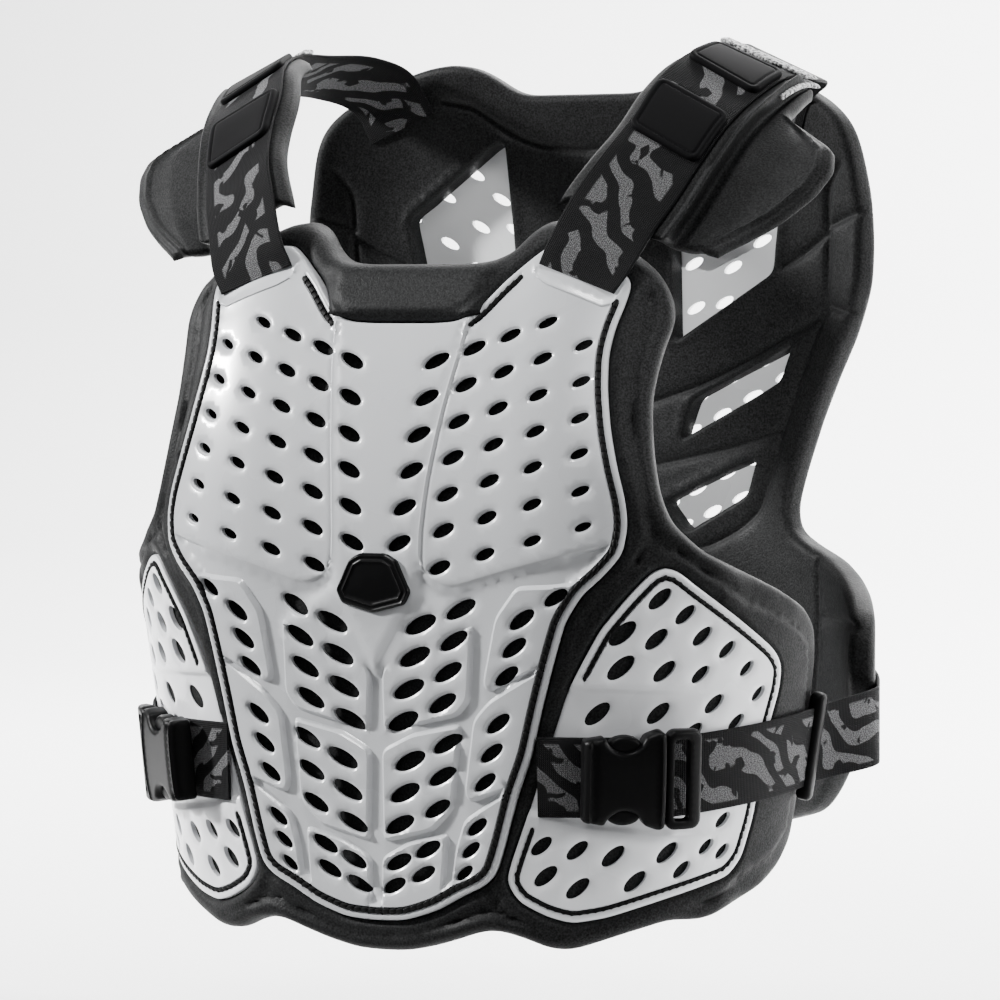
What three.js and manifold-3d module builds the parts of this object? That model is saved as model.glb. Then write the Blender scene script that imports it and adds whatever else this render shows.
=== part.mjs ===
// Roost deflector: an off-road chest and back protector of foam pads and vented plates on webbing straps.
// Millimetres, +Z up. The chest faces -Y, and the wearer's left is +X.
// The origin is where the shoulder straps rest on the wearer, on the centre line.

import * as THREE from "three";
import { mergeVertices } from "three/addons/utils/BufferGeometryUtils.js";
import Module from "manifold-3d";

const wasm = await Module();
wasm.setup();

// Sizes of the front
const frontReach = 256; // round the body, from the centre of the chest to the flank pad's edge
const frontDrop = 447; // from the shoulder rest down to the front pad's lowest edge
const chestDepth = 137.5; // from the shoulder rest forward to the face of the chest plate
const leanDrop = 262; // below the shoulder rest, where the chest begins to lean back
const neckSetback = 48; // how far the chest leans back at the collar
const neckRise = 170; // from leanDrop up to the collar
const frontBend = 125; // radius of the flanks, at the face of the plates
const frontFlat = 70; // half the flat width of the chest
const hemFlat = 40; // half the flat width at the hem

// Sizes of the back
const backReach = 228; // round the body, from the spine to the edge of the side wing
const backDrop = 412; // from the shoulder rest down to the back pad's lowest edge
const backDepth = 118; // from the shoulder rest back to the inner face of the back pad
const backLeanDrop = 212; // below the shoulder rest, where the back begins to lean forward
const napeSetback = 25; // how far the back leans forward at its top
const backBend = 125; // radius of the side wings, at the inner face
const backFlat = 67; // half the flat width of the lower back
const shoulderFlat = 102; // half the flat width between the shoulder blades
const shoulderFlatRise = 200; // height over which the flat width grows from one to the other

// Walls and gaps
const gap = 0.3;
const backGap = 2.2; // between the back pad and its plate
const plateWall = 3.2;
const bandRise = 2.5; // how far the chest plate's middle band stands out
const flankWall = 3.2;
const foamWall = 12;
const collarRise = 7;
const backFoamWall = 12;
const backPlateWall = 3;
const webbingWall = 1.8;
const shoulderFoamWall = 8;

// Webbing, buckles and tabs
const waistWebbing = 40;
const buckleBodyLength = 41;
const buckleBodyWidth = 50;
const buckleThickness = 13;
const buckleNotch = 9; // radius of the finger notches
const tongueLength = 19;
const tongueThickness = 8;
const tongueWindowLength = 6;
const sliderWidth = 56;
const sliderLength = 8;
const sliderSide = 5; // wall at each end of the slider's slot
const sliderRoom = 2; // free height above and below the webbing inside the slider
const sliderBar = 1.1;
const frontTabLength = 35;
const rearTabLength = 27;
const tabInset = 1.2; // between the tab's side and the strap's edge
const tabWall = 3;
const badgeWidth = 42;
const badgeHeight = 27;
const badgeWall = 2.5;
const patchWidth = 36;
const patchHeight = 14;
const patchDrop = 64; // from the shoulder rest down to the middle of the patch
const patchWall = 1;

// Shoulder straps and caps
const shoulderHalf = 122; // from the centre to the strap's inner edge at its top
const strapWidth = 41; // across the strap at its top
const strapTop = 11; // strap's inner edge above the shoulder rest
const strapSlope = 18; // how much lower the strap's outer edge is
const strapForward = 2; // how much further back the outer edge peaks
const padOverhang = 10; // how far the shoulder pad shows inside the strap
const padFold = 5; // how far its inner side turns down
const padSag = 2; // how much lower the pad's inner edge is
const beadWidth = 9; // from the strap's outer edge out to the foot of the bead
const beadSetback = 10; // how far back the foot of the bead lies
const beadRise = 2; // how far the bead stands above the strap
const capReach = 44; // from the bead to the cap's outer tip
const capWall = 4; // at the cap's outer edge
const capSag = 2; // how far the cap's outer edge turns down

// Outlines, right half, as shares of the reach and of the drop
const chestPlateEdge = [
  [0.0, 0.295], [0.07, 0.295], [0.125, 0.293], [0.154, 0.284], [0.18, 0.267], [0.211, 0.246], [0.266, 0.217],
  [0.297, 0.204], [0.352, 0.21], [0.438, 0.235], [0.469, 0.248], [0.465, 0.271], [0.453, 0.3], [0.449, 0.329],
  [0.457, 0.367], [0.473, 0.412], [0.492, 0.452], [0.512, 0.488], [0.52, 0.515], [0.512, 0.548], [0.473, 0.574],
  [0.434, 0.593], [0.4, 0.624], [0.377, 0.669], [0.355, 0.716], [0.332, 0.772], [0.301, 0.82], [0.277, 0.872],
  [0.258, 0.906], [0.234, 0.919], [0.188, 0.931], [0.133, 0.949], [0.066, 0.962], [0.0, 0.964],
];
const frontFoamEdge = [
  [0.0, 0.228], [0.109, 0.228], [0.168, 0.226], [0.203, 0.211], [0.234, 0.188], [0.27, 0.177], [0.328, 0.181],
  [0.391, 0.197], [0.461, 0.217], [0.512, 0.235], [0.543, 0.253], [0.566, 0.273], [0.574, 0.295], [0.562, 0.32],
  [0.555, 0.349], [0.551, 0.378], [0.559, 0.412], [0.57, 0.447], [0.586, 0.483], [0.613, 0.515], [0.68, 0.546],
  [0.758, 0.565], [0.877, 0.592], [0.961, 0.613], [1.008, 0.638], [1.022, 0.676], [1.018, 0.738], [0.99, 0.843],
  [0.977, 0.883], [0.932, 0.91], [0.867, 0.931], [0.781, 0.946], [0.691, 0.962], [0.609, 0.96], [0.516, 0.973],
  [0.406, 0.991], [0.359, 0.989], [0.312, 0.978], [0.258, 0.97], [0.219, 0.972], [0.176, 0.98], [0.117, 0.991],
  [0.055, 0.999], [0.0, 1.0],
];
const flankPlateEdge = [
  [0.598, 0.562], [0.57, 0.568], [0.52, 0.597], [0.469, 0.631], [0.43, 0.671], [0.402, 0.702], [0.383, 0.734],
  [0.32, 0.841], [0.289, 0.89], [0.277, 0.913], [0.301, 0.935], [0.355, 0.951], [0.406, 0.959], [0.473, 0.953],
  [0.586, 0.935], [0.738, 0.913], [0.773, 0.893], [0.801, 0.848], [0.836, 0.747], [0.863, 0.702], [0.867, 0.676],
  [0.844, 0.658], [0.66, 0.584], [0.625, 0.568],
];
const backFoamEdge = [
  [0.0, 0.019], [0.149, 0.019], [0.184, 0.012], [0.219, -0.002], [0.268, -0.017], [0.329, -0.024], [0.404, -0.019],
  [0.491, -0.005], [0.57, 0.015], [0.627, 0.032], [0.667, 0.049], [0.697, 0.07], [0.715, 0.097], [0.728, 0.133],
  [0.741, 0.175], [0.746, 0.223], [0.741, 0.272], [0.719, 0.303], [0.689, 0.34], [0.636, 0.388], [0.583, 0.447],
  [0.539, 0.512], [0.513, 0.561], [0.522, 0.59], [0.596, 0.609], [0.693, 0.624], [0.763, 0.638], [0.846, 0.658],
  [0.939, 0.687], [0.991, 0.723], [1.0, 0.762], [0.956, 0.801], [0.833, 0.84], [0.746, 0.881], [0.667, 0.93],
  [0.614, 0.954], [0.482, 0.973], [0.263, 0.99], [0.0, 1.0],
];
const backPlateEdge = [
  [0.0, 0.06], [0.3, 0.06], [0.52, 0.13], [0.56, 0.2], [0.56, 0.33], [0.5, 0.46], [0.44, 0.58], [0.42, 0.7],
  [0.4, 0.85], [0.3, 0.92], [0.0, 0.94],
];

// Openings through the back pad, right half, as shares of the back's reach and drop
const backWindows = [
  [[0.469, 0.255], [0.491, 0.182], [0.25, 0.087], [0.215, 0.08], [0.202, 0.347]],
  [[0.25, 0.422], [0.522, 0.347], [0.487, 0.396], [0.215, 0.476]],
  [[0.175, 0.558], [0.421, 0.495], [0.395, 0.546], [0.232, 0.597]],
];

// The raised band's edge on the chest plate: share of the drop, share of the reach
const bandEdge = [
  [0.204, 0.16], [0.291, 0.146], [0.336, 0.137], [0.394, 0.121], [0.472, 0.104], [0.528, 0.096], [0.559, 0.096],
  [0.577, 0.109], [0.595, 0.156], [0.613, 0.184], [0.676, 0.18], [0.734, 0.168], [0.787, 0.16], [0.866, 0.148],
  [0.933, 0.117], [1.0, 0.07],
];

// Vents of the chest plate, right half: each row runs from one vent to another
// Places are shares of the reach and drop; lengths in millimetres; tilt in degrees, outer end up
const ventRuns = [
  { from: [0.094, 0.337], to: [0.317, 0.294], count: 4, firstLength: 13.7, lastLength: 9.1, slim: 0.5, tilt: 24 },
  { from: [0.085, 0.378], to: [0.398, 0.319], count: 5, firstLength: 13.7, lastLength: 7.4, slim: 0.52, tilt: 24 },
  { from: [0.077, 0.419], to: [0.404, 0.359], count: 5, firstLength: 13.7, lastLength: 7.4, slim: 0.52, tilt: 24 },
  { from: [0.069, 0.459], to: [0.411, 0.399], count: 5, firstLength: 13.7, lastLength: 7.4, slim: 0.52, tilt: 24 },
  { from: [0.06, 0.5], to: [0.417, 0.438], count: 5, firstLength: 13.7, lastLength: 7.4, slim: 0.52, tilt: 24 },
  { from: [0.052, 0.54], to: [0.425, 0.479], count: 5, firstLength: 13.7, lastLength: 7.4, slim: 0.52, tilt: 24 },
  { from: [0.139, 0.566], to: [0.434, 0.518], count: 4, firstLength: 12.5, lastLength: 8.0, slim: 0.52, tilt: 22 },
  { from: [0.098, 0.63], to: [0.059, 0.739], count: 4, firstLength: 17.1, lastLength: 17.1, slim: 0.47, tilt: 24 },
  { from: [0.075, 0.783], to: [0.052, 0.855], count: 3, firstLength: 17.1, lastLength: 16.0, slim: 0.48, tilt: 26 },
  { from: [0.05, 0.897], to: [0.039, 0.926], count: 2, firstLength: 13.7, lastLength: 10.3, slim: 0.5, tilt: 28 },
  { from: [0.183, 0.612], to: [0.146, 0.717], count: 4, firstLength: 14.8, lastLength: 14.8, slim: 0.5, tilt: 30 },
  { from: [0.155, 0.762], to: [0.135, 0.835], count: 3, firstLength: 14.8, lastLength: 13.7, slim: 0.5, tilt: 32 },
  { from: [0.114, 0.881], to: [0.104, 0.909], count: 2, firstLength: 12.5, lastLength: 10.3, slim: 0.5, tilt: 34 },
  { from: [0.384, 0.596], to: [0.384, 0.596], count: 1, firstLength: 11.4, lastLength: 11.4, slim: 0.55, tilt: 40 },
  { from: [0.316, 0.621], to: [0.284, 0.684], count: 3, firstLength: 12.5, lastLength: 12.5, slim: 0.55, tilt: 42 },
  { from: [0.266, 0.737], to: [0.238, 0.803], count: 3, firstLength: 12.5, lastLength: 11.4, slim: 0.55, tilt: 44 },
  { from: [0.221, 0.853], to: [0.192, 0.913], count: 3, firstLength: 11.4, lastLength: 10.3, slim: 0.55, tilt: 46 },
];
const longVent = 12;
const ventSides = (length) => (length > longVent ? 5 : 4);

// Shoulder strap route: each edge as a portion of the way, in X, Y and Z, from the chest to the top
const strapClimb = [
  { inner: [0.0, 0.0, 0.0], outer: [0.0, 0.0, 0.0] },
  { inner: [0.11, 0.0, 0.106], outer: [0.146, 0.04, 0.106] },
  { inner: [0.31, 0.09, 0.32], outer: [0.31, 0.14, 0.28] },
  { inner: [0.49, 0.2, 0.48], outer: [0.455, 0.24, 0.42] },
  { inner: [0.635, 0.37, 0.637], outer: [0.605, 0.38, 0.6] },
  { inner: [0.725, 0.55, 0.8], outer: [0.74, 0.53, 0.76] },
  { inner: [0.88, 0.73, 0.93], outer: [0.87, 0.72, 0.89] },
  { inner: [1.0, 1.0, 1.0], outer: [1.0, 1.0, 1.0] },
];
// The same, from the top to the slot in the back
const strapFall = [
  { inner: [0.0, 0.375, -0.06], outer: [-0.03, 0.4, 0.0] },
  { inner: [0.34, 0.716, -0.06], outer: [0.27, 0.76, 0.03] },
  { inner: [0.72, 0.89, 0.22], outer: [0.73, 0.93, 0.31] },
  { inner: [1.0, 1.0, 1.0], outer: [1.0, 1.0, 1.0] },
];
// The strap's ends, as shares of the reach and drop of the front and of the back
const strapFoot = { inner: [0.277, 0.228], outer: [0.438, 0.262] };
const strapHead = { inner: [0.395, 0.039], outer: [0.57, 0.08] };

// Shoulder cap: its outer edge at rows of the strap, as shares of capReach out, back and down from the bead
const capEdge = [
  { row: 1.85, out: 0.5, back: -0.04, drop: 0.04 },
  { row: 2.4, out: 0.72, back: 0.02, drop: 0.06 },
  { row: 3.1, out: 0.94, back: 0.08, drop: 0.09 },
  { row: 3.76, out: 1.1, back: 0.14, drop: 0.12 },
  { row: 4.4, out: 1.12, back: 0.18, drop: 0.12 },
  { row: 5.0, out: 0.98, back: 0.14, drop: 0.12 },
  { row: 5.6, out: 0.55, back: 0.05, drop: 0.12 },
  { row: 6.1, out: 0.14, back: 0.0, drop: 0.1 },
  { row: 7.0, out: 0.08, back: 0.0, drop: 0.08 },
];
const frontTabRow = 3.85; // row of the strap where each tab starts
const rearTabRow = 6.05;
const padStart = 1.85; // first and last row of the strap that the shoulder pad lies under
const padEnd = 7.0;

// Faces of the body that the pieces lie on. Across runs round the body and lift is along the outward normal.
function frontPoint(across, z, lift) {
  const height = z + leanDrop;
  const side = Math.sign(across);
  const run = Math.abs(across);
  const hemShare = Math.min(Math.max(-height / (frontDrop - leanDrop), 0), 1);
  const flat = frontFlat + (hemFlat - frontFlat) * hemShare;
  const lean = height > 0 ? neckSetback * (height / neckRise) ** 2 : 0;
  const turn = Math.max(run - flat, 0) / frontBend;
  const x = Math.min(run, flat) + (frontBend + lift) * Math.sin(turn);
  const y = -chestDepth + lean + frontBend - (frontBend + lift) * Math.cos(turn);
  return new THREE.Vector3(side * x, y, z);
}

function backPoint(across, z, lift) {
  const height = z + backLeanDrop;
  const side = Math.sign(across);
  const run = Math.abs(across);
  const rise = Math.min(Math.max((z + leanDrop) / shoulderFlatRise, 0), 1);
  const flat = backFlat + (shoulderFlat - backFlat) * rise;
  const lean = height > 0 ? napeSetback * (height / backLeanDrop) ** 2 : 0;
  const turn = Math.max(run - flat, 0) / backBend;
  const x = Math.min(run, flat) + (backBend + lift) * Math.sin(turn);
  const y = backDepth - lean - backBend + (backBend + lift) * Math.cos(turn);
  return new THREE.Vector3(side * x, y, z);
}

// Tools for closed meshes
function readTable(table, key) {
  if (key <= table[0][0]) return table[0][1];
  for (let k = 1; k < table.length; k += 1) {
    const [start, first] = table[k - 1];
    const [end, last] = table[k];
    if (key <= end) return first + ((last - first) * (key - start)) / (end - start);
  }
  return table[table.length - 1][1];
}

function outlinePoints(edge, reach, drop) {
  return edge.map(([across, down]) => new THREE.Vector2(across * reach, -down * drop));
}

function mirrored(points) {
  const other = points.filter((p) => p.x > 0).map((p) => new THREE.Vector2(-p.x, p.y));
  return points.concat(other.reverse());
}

function solidFrom(geometry) {
  const bare = geometry.index ? geometry.clone() : geometry;
  bare.deleteAttribute("normal");
  bare.deleteAttribute("uv");
  const merged = mergeVertices(bare, 1e-4);
  return new wasm.Manifold(
    new wasm.Mesh({
      numProp: 3,
      vertProperties: new Float32Array(merged.attributes.position.array),
      triVerts: new Uint32Array(merged.index.array),
    }),
  );
}

function geometryFrom(vertices, triangles) {
  const geometry = new THREE.BufferGeometry();
  geometry.setAttribute("position", new THREE.Float32BufferAttribute(vertices.flatMap((v) => [v.x, v.y, v.z]), 3));
  geometry.setIndex(triangles.flat());
  if (signedVolume(vertices, triangles) < 0) geometry.setIndex(triangles.flatMap(([a, b, c]) => [a, c, b]));
  geometry.computeVertexNormals();
  return geometry;
}

function signedVolume(vertices, triangles) {
  return triangles.reduce((sum, [a, b, c]) => {
    const cross = new THREE.Vector3().crossVectors(vertices[b], vertices[c]);
    return sum + vertices[a].dot(cross) / 6;
  }, 0);
}

// A closed solid between two sheets of points of the same rows and columns
function between(upper, lower) {
  const rows = upper.length;
  const columns = upper[0].length;
  const vertices = upper.flat().concat(lower.flat());
  const at = (row, column, sheet) => sheet * rows * columns + row * columns + column;
  const triangles = [];
  const quad = (a, b, c, d) => triangles.push([a, b, c], [a, c, d]);
  for (let row = 0; row + 1 < rows; row += 1) {
    for (let column = 0; column + 1 < columns; column += 1) {
      quad(at(row, column, 0), at(row, column + 1, 0), at(row + 1, column + 1, 0), at(row + 1, column, 0));
      quad(at(row, column, 1), at(row + 1, column, 1), at(row + 1, column + 1, 1), at(row, column + 1, 1));
    }
    quad(at(row, 0, 0), at(row + 1, 0, 0), at(row + 1, 0, 1), at(row, 0, 1));
    quad(at(row + 1, columns - 1, 0), at(row, columns - 1, 0), at(row, columns - 1, 1), at(row + 1, columns - 1, 1));
  }
  for (let column = 0; column + 1 < columns; column += 1) {
    quad(at(0, column + 1, 0), at(0, column, 0), at(0, column, 1), at(0, column + 1, 1));
    quad(at(rows - 1, column, 0), at(rows - 1, column + 1, 0), at(rows - 1, column + 1, 1), at(rows - 1, column, 1));
  }
  return geometryFrom(vertices, triangles);
}

// A sheet of the body's face, trimmed to an outline and pierced, then laid on the face.
// It is cut while nearly flat: the slight dish keeps each grid line through the cut.
const dishRadius = 700;
const dish = (across, z) => (across * across + z * z + 0.5 * across * z) / (2 * dishRadius);

function prism(points) {
  const depth = 2000;
  const geometry = new THREE.ExtrudeGeometry(new THREE.Shape(points), { depth, bevelEnabled: false });
  return solidFrom(geometry.translate(0, 0, -depth / 2));
}

function laidSheet({ outlines, holes = [], columns, rows, low, high, place }) {
  const sheet = (lift) =>
    rows.map((z) =>
      columns(z).map((across) => new THREE.Vector3(across, z, lift(across, z) + dish(across, z))),
    );
  let solid = solidFrom(between(sheet(high), sheet(low)));
  const trim = outlines.map(prism).reduce((sum, next) => sum.add(next));
  solid = solid.intersect(trim);
  for (const hole of holes) solid = solid.subtract(prism(hole));
  const mesh = solid.getMesh();
  const vertices = [];
  for (let k = 0; k < mesh.vertProperties.length; k += 3) {
    const [across, z, height] = mesh.vertProperties.slice(k, k + 3);
    vertices.push(place(across, z, height - dish(across, z)));
  }
  const triangles = [];
  for (let k = 0; k < mesh.triVerts.length; k += 3) triangles.push(Array.from(mesh.triVerts.slice(k, k + 3)));
  return geometryFrom(vertices, triangles);
}

// Grid lines round the front: two follow the raised band, the rest are evenly spaced
const bandFoot = 3;
function bandAt(z) {
  return readTable(bandEdge, -z / frontDrop) * frontReach;
}

function frontColumns(reach) {
  const spacing = 22;
  const firstOuter = 62;
  return (z) => {
    const half = [0, bandAt(z) * 0.5, bandAt(z), bandAt(z) + bandFoot];
    const outer = [];
    for (let across = firstOuter; across < reach + spacing; across += spacing) outer.push(across);
    const all = half.concat(outer);
    return all.slice(1).map((across) => -across).reverse().concat(all);
  };
}

function evenly(from, to, spacing) {
  const count = Math.max(Math.round(Math.abs(to - from) / spacing), 1);
  return Array.from({ length: count + 1 }, (_, k) => from + ((to - from) * k) / count);
}

// Rows of the front: two close together shape the foot of the collar, just above the plate's neckline
const collarFoot = 0.28;
const collarTop = 0.27;
const rowSpacing = 44;
const frontRows = evenly(-0.16 * frontDrop, -collarTop * frontDrop, rowSpacing * 0.8).concat(
  evenly(-collarFoot * frontDrop, -1.02 * frontDrop, rowSpacing),
);
const backRows = evenly(0.05 * backDrop, -1.02 * backDrop, rowSpacing);
const backColumnSpacing = 24;

function evenColumns(reach, spacing) {
  return () => evenly(-reach, reach, spacing);
}

function oval(centre, length, width, tilt, sides) {
  return Array.from({ length: sides }, (_, k) => {
    const angle = (2 * Math.PI * k) / sides;
    const point = new THREE.Vector2((Math.cos(angle) * length) / 2, (Math.sin(angle) * width) / 2);
    return point.rotateAround(new THREE.Vector2(), tilt).add(centre);
  });
}

// Front
function plateLift(across, z) {
  const inside = Math.abs(across) <= bandAt(z) + 0.01;
  return inside ? bandRise : 0;
}

function chestVents() {
  const vents = [];
  for (const run of ventRuns) {
    for (let k = 0; k < run.count; k += 1) {
      const share = run.count > 1 ? k / (run.count - 1) : 0;
      const across = (run.from[0] + (run.to[0] - run.from[0]) * share) * frontReach;
      const z = -(run.from[1] + (run.to[1] - run.from[1]) * share) * frontDrop;
      const length = run.firstLength + (run.lastLength - run.firstLength) * share;
      const tilt = THREE.MathUtils.degToRad(run.tilt);
      for (const side of [1, -1]) {
        const centre = new THREE.Vector2(side * across, z);
        vents.push(oval(centre, length, length * run.slim, side * tilt, ventSides(length)));
      }
    }
  }
  return vents;
}

function chestPlate() {
  return laidSheet({
    outlines: [mirrored(outlinePoints(chestPlateEdge, frontReach, frontDrop))],
    holes: chestVents(),
    columns: frontColumns(0.52 * frontReach),
    rows: frontRows,
    low: (across, z) => plateLift(across, z) - plateWall,
    high: plateLift,
    place: frontPoint,
  });
}

const frontFoamTop = -plateWall - gap;
function foamLift(across, z) {
  const inCollar = Math.abs(across) <= bandAt(z) + 0.01 && z > -(collarFoot + collarTop) * 0.5 * frontDrop;
  return frontFoamTop + (inCollar ? collarRise : 0);
}

function frontFoam() {
  return laidSheet({
    outlines: [mirrored(outlinePoints(frontFoamEdge, frontReach, frontDrop))],
    columns: frontColumns(1.03 * frontReach),
    rows: frontRows,
    low: () => frontFoamTop - foamWall,
    high: foamLift,
    place: frontPoint,
  });
}

function flankPlate(side) {
  const edge = outlinePoints(flankPlateEdge, frontReach, frontDrop);
  return laidSheet({
    outlines: [edge.map((p) => new THREE.Vector2(side * p.x, p.y))],
    columns: frontColumns(frontReach),
    rows: frontRows,
    low: () => frontFoamTop + gap,
    high: () => frontFoamTop + gap + flankWall,
    place: frontPoint,
  });
}

function badge() {
  const corners = [[0.5, -0.11], [0.42, -0.33], [0.0, -0.48], [-0.42, -0.33], [-0.5, -0.11], [-0.32, 0.41], [-0.17, 0.52],
    [0.17, 0.52], [0.32, 0.41]];
  const shape = new THREE.Shape(corners.map(([x, z]) => new THREE.Vector2(x * badgeWidth, z * badgeHeight)));
  const geometry = new THREE.ExtrudeGeometry(shape, { depth: badgeWall, bevelEnabled: false });
  geometry.rotateX(Math.PI / 2);
  return geometry.translate(0, -chestDepth - bandRise - 2 * gap, -leanDrop);
}

// Back
function backWindowHoles() {
  return backWindows.flatMap((window) => {
    const points = outlinePoints(window, backReach, backDrop);
    return [points, points.map((p) => new THREE.Vector2(-p.x, p.y)).reverse()];
  });
}

function backFoam() {
  return laidSheet({
    outlines: [mirrored(outlinePoints(backFoamEdge, backReach, backDrop))],
    holes: backWindowHoles(),
    columns: evenColumns(backReach * 1.05, backColumnSpacing),
    rows: backRows,
    low: () => 0,
    high: () => backFoamWall,
    place: backPoint,
  });
}

function backPlate() {
  return laidSheet({
    outlines: [mirrored(outlinePoints(backPlateEdge, backReach, backDrop))],
    columns: evenColumns(backReach * 1.05, backColumnSpacing),
    rows: backRows,
    low: () => backFoamWall + backGap,
    high: () => backFoamWall + backGap + backPlateWall,
    place: backPoint,
  });
}

// Strap frame: the two edges of the shoulder strap at any row number along it
const plateTop = 0;
const strapLift = plateTop + gap + webbingWall / 2;
function mix(a, b, shares) {
  return new THREE.Vector3(
    a.x + (b.x - a.x) * shares[0],
    a.y + (b.y - a.y) * shares[1],
    a.z + (b.z - a.z) * shares[2],
  );
}

function strapEdge(which) {
  const outer = which === "outer";
  const [footAcross, footDrop] = strapFoot[which];
  const [headAcross, headDrop] = strapHead[which];
  const foot = frontPoint(footAcross * frontReach, -footDrop * frontDrop, strapLift + bandRise);
  const head = backPoint(headAcross * backReach, -headDrop * backDrop, -gap - webbingWall);
  const top = new THREE.Vector3(
    shoulderHalf + (outer ? strapWidth : 0),
    outer ? strapForward : 0,
    strapTop - (outer ? strapSlope : 0),
  );
  const points = strapClimb.map((row) => mix(foot, top, row[which]));
  return points.concat(strapFall.map((row) => mix(top, head, row[which])));
}

const innerCurve = new THREE.CatmullRomCurve3(strapEdge("inner"));
const outerCurve = new THREE.CatmullRomCurve3(strapEdge("outer"));
const strapRowCount = strapClimb.length + strapFall.length - 1;

function strapPoint(row, share) {
  const t = row / strapRowCount;
  const inner = innerCurve.getPoint(t);
  const outer = outerCurve.getPoint(t);
  return inner.lerp(outer, share);
}

function sheetNormals(grid) {
  const rows = grid.length;
  const columns = grid[0].length;
  return grid.map((line, row) =>
    line.map((_, column) => {
      const up = grid[Math.min(row + 1, rows - 1)][column].clone().sub(grid[Math.max(row - 1, 0)][column]);
      const over = line[Math.min(column + 1, columns - 1)].clone().sub(line[Math.max(column - 1, 0)]);
      return new THREE.Vector3().crossVectors(over, up).normalize();
    }),
  );
}

// A wall of given heights above and below a sheet of points
function wall(grid, above, below) {
  const normals = sheetNormals(grid);
  const offset = (heights) =>
    grid.map((line, row) =>
      line.map((point, column) => point.clone().addScaledVector(normals[row][column], heights(row, column))),
    );
  return between(offset(above), offset(below));
}

function flipped(grid, side) {
  return grid.map((line) => line.map((p) => new THREE.Vector3(side * p.x, p.y, p.z)));
}

function sidedWall(grid, side, above, below, facing = 1) {
  const outward = side * facing;
  return wall(
    flipped(grid, side),
    (row, column) => outward * above(row, column),
    (row, column) => outward * below(row, column),
  );
}

function shoulderStrap(side) {
  const rows = evenly(0, strapRowCount, 0.5);
  const grid = rows.map((row) => [0, 0.5, 1].map((share) => strapPoint(row, share)));
  return sidedWall(grid, side, () => webbingWall / 2, () => -webbingWall / 2);
}

function shoulderPad(side) {
  const rows = evenly(padStart, padEnd, 0.5);
  const top = -webbingWall / 2 - gap * 1.4;
  const grid = rows.map((row) => {
    const inner = strapPoint(row, 0);
    const outer = strapPoint(row, 1);
    const acrossDirection = outer.clone().sub(inner).normalize();
    const pick = (name) => readTable(capEdge.map((entry) => [entry.row, entry[name]]), row);
    const bead = outer.clone().addScaledVector(acrossDirection, beadWidth);
    bead.y += beadSetback;
    const edge = bead.clone().add(
      new THREE.Vector3(pick("out") * capReach, pick("back") * capReach, -pick("drop") * capReach),
    );
    return [
      inner.clone().addScaledVector(acrossDirection, -padOverhang).add(new THREE.Vector3(0, 0, -padFold)),
      inner,
      inner.clone().lerp(outer, 0.5),
      outer,
      outer.clone().lerp(bead, 0.3),
      bead,
      bead.clone().lerp(edge, 0.5),
      edge,
    ];
  });
  const half = webbingWall / 2;
  const heights = [top - padSag, top, top, top, half + beadRise, -half, -half, -half - capSag];
  const wallAt = (column) => (column === heights.length - 1 ? capWall : shoulderFoamWall);
  return sidedWall(
    grid,
    side,
    (row, column) => heights[column],
    (row, column) => heights[column] - wallAt(column),
  );
}

function strapTab(side, startRow, length) {
  const perRow = strapPoint(startRow, 0.5).distanceTo(strapPoint(startRow + 1, 0.5));
  const rows = evenly(startRow, startRow + length / perRow, 0.35);
  const insetShare = tabInset / strapWidth;
  const grid = rows.map((row) => [insetShare, 0.5, 1 - insetShare].map((share) => strapPoint(row, share)));
  const base = webbingWall / 2 + gap;
  return sidedWall(grid, side, () => base + tabWall, () => base);
}

// Waist straps, buckles and sliders
const waistDrop = 0.795; // share of the drop of the buckle's centre
const waistZ = -waistDrop * frontDrop;
const buckleAcross = 138; // the middle of the fastened buckle, which is rigid and bridges the bend
const buckleLift = 2.9;
const waistSlot = 93; // where the front webbing comes out beside the chest plate

function faceFrame(across, z, lift, side) {
  const base = frontPoint(across, z, lift);
  const along = frontPoint(across + 1, z, lift).sub(frontPoint(across - 1, z, lift)).normalize();
  const rise = frontPoint(across, z + 1, lift).sub(frontPoint(across, z - 1, lift));
  const out = new THREE.Vector3().crossVectors(along, rise).normalize();
  const up = new THREE.Vector3().crossVectors(out, along);
  const matrix = new THREE.Matrix4().makeBasis(along, up, out);
  matrix.setPosition(base);
  if (side < 0) matrix.premultiply(new THREE.Matrix4().makeScale(-1, 1, 1));
  return matrix;
}

function placed(geometry, matrix) {
  const moved = geometry.clone().applyMatrix4(matrix);
  if (matrix.determinant() < 0) {
    const solid = moved.index ? moved : mergeVertices(moved);
    const order = Array.from(solid.index.array);
    for (let k = 0; k < order.length; k += 3) [order[k + 1], order[k + 2]] = [order[k + 2], order[k + 1]];
    solid.setIndex(order);
    return solid;
  }
  return moved;
}

function fromSolid(solid) {
  const mesh = solid.getMesh();
  const geometry = new THREE.BufferGeometry();
  geometry.setAttribute("position", new THREE.Float32BufferAttribute(mesh.vertProperties, 3));
  geometry.setIndex(Array.from(mesh.triVerts));
  geometry.computeVertexNormals();
  return geometry;
}

function block(width, height, depth, x = 0, y = 0, z = 0) {
  return new THREE.BoxGeometry(width, height, depth).translate(x, y, z);
}

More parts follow.
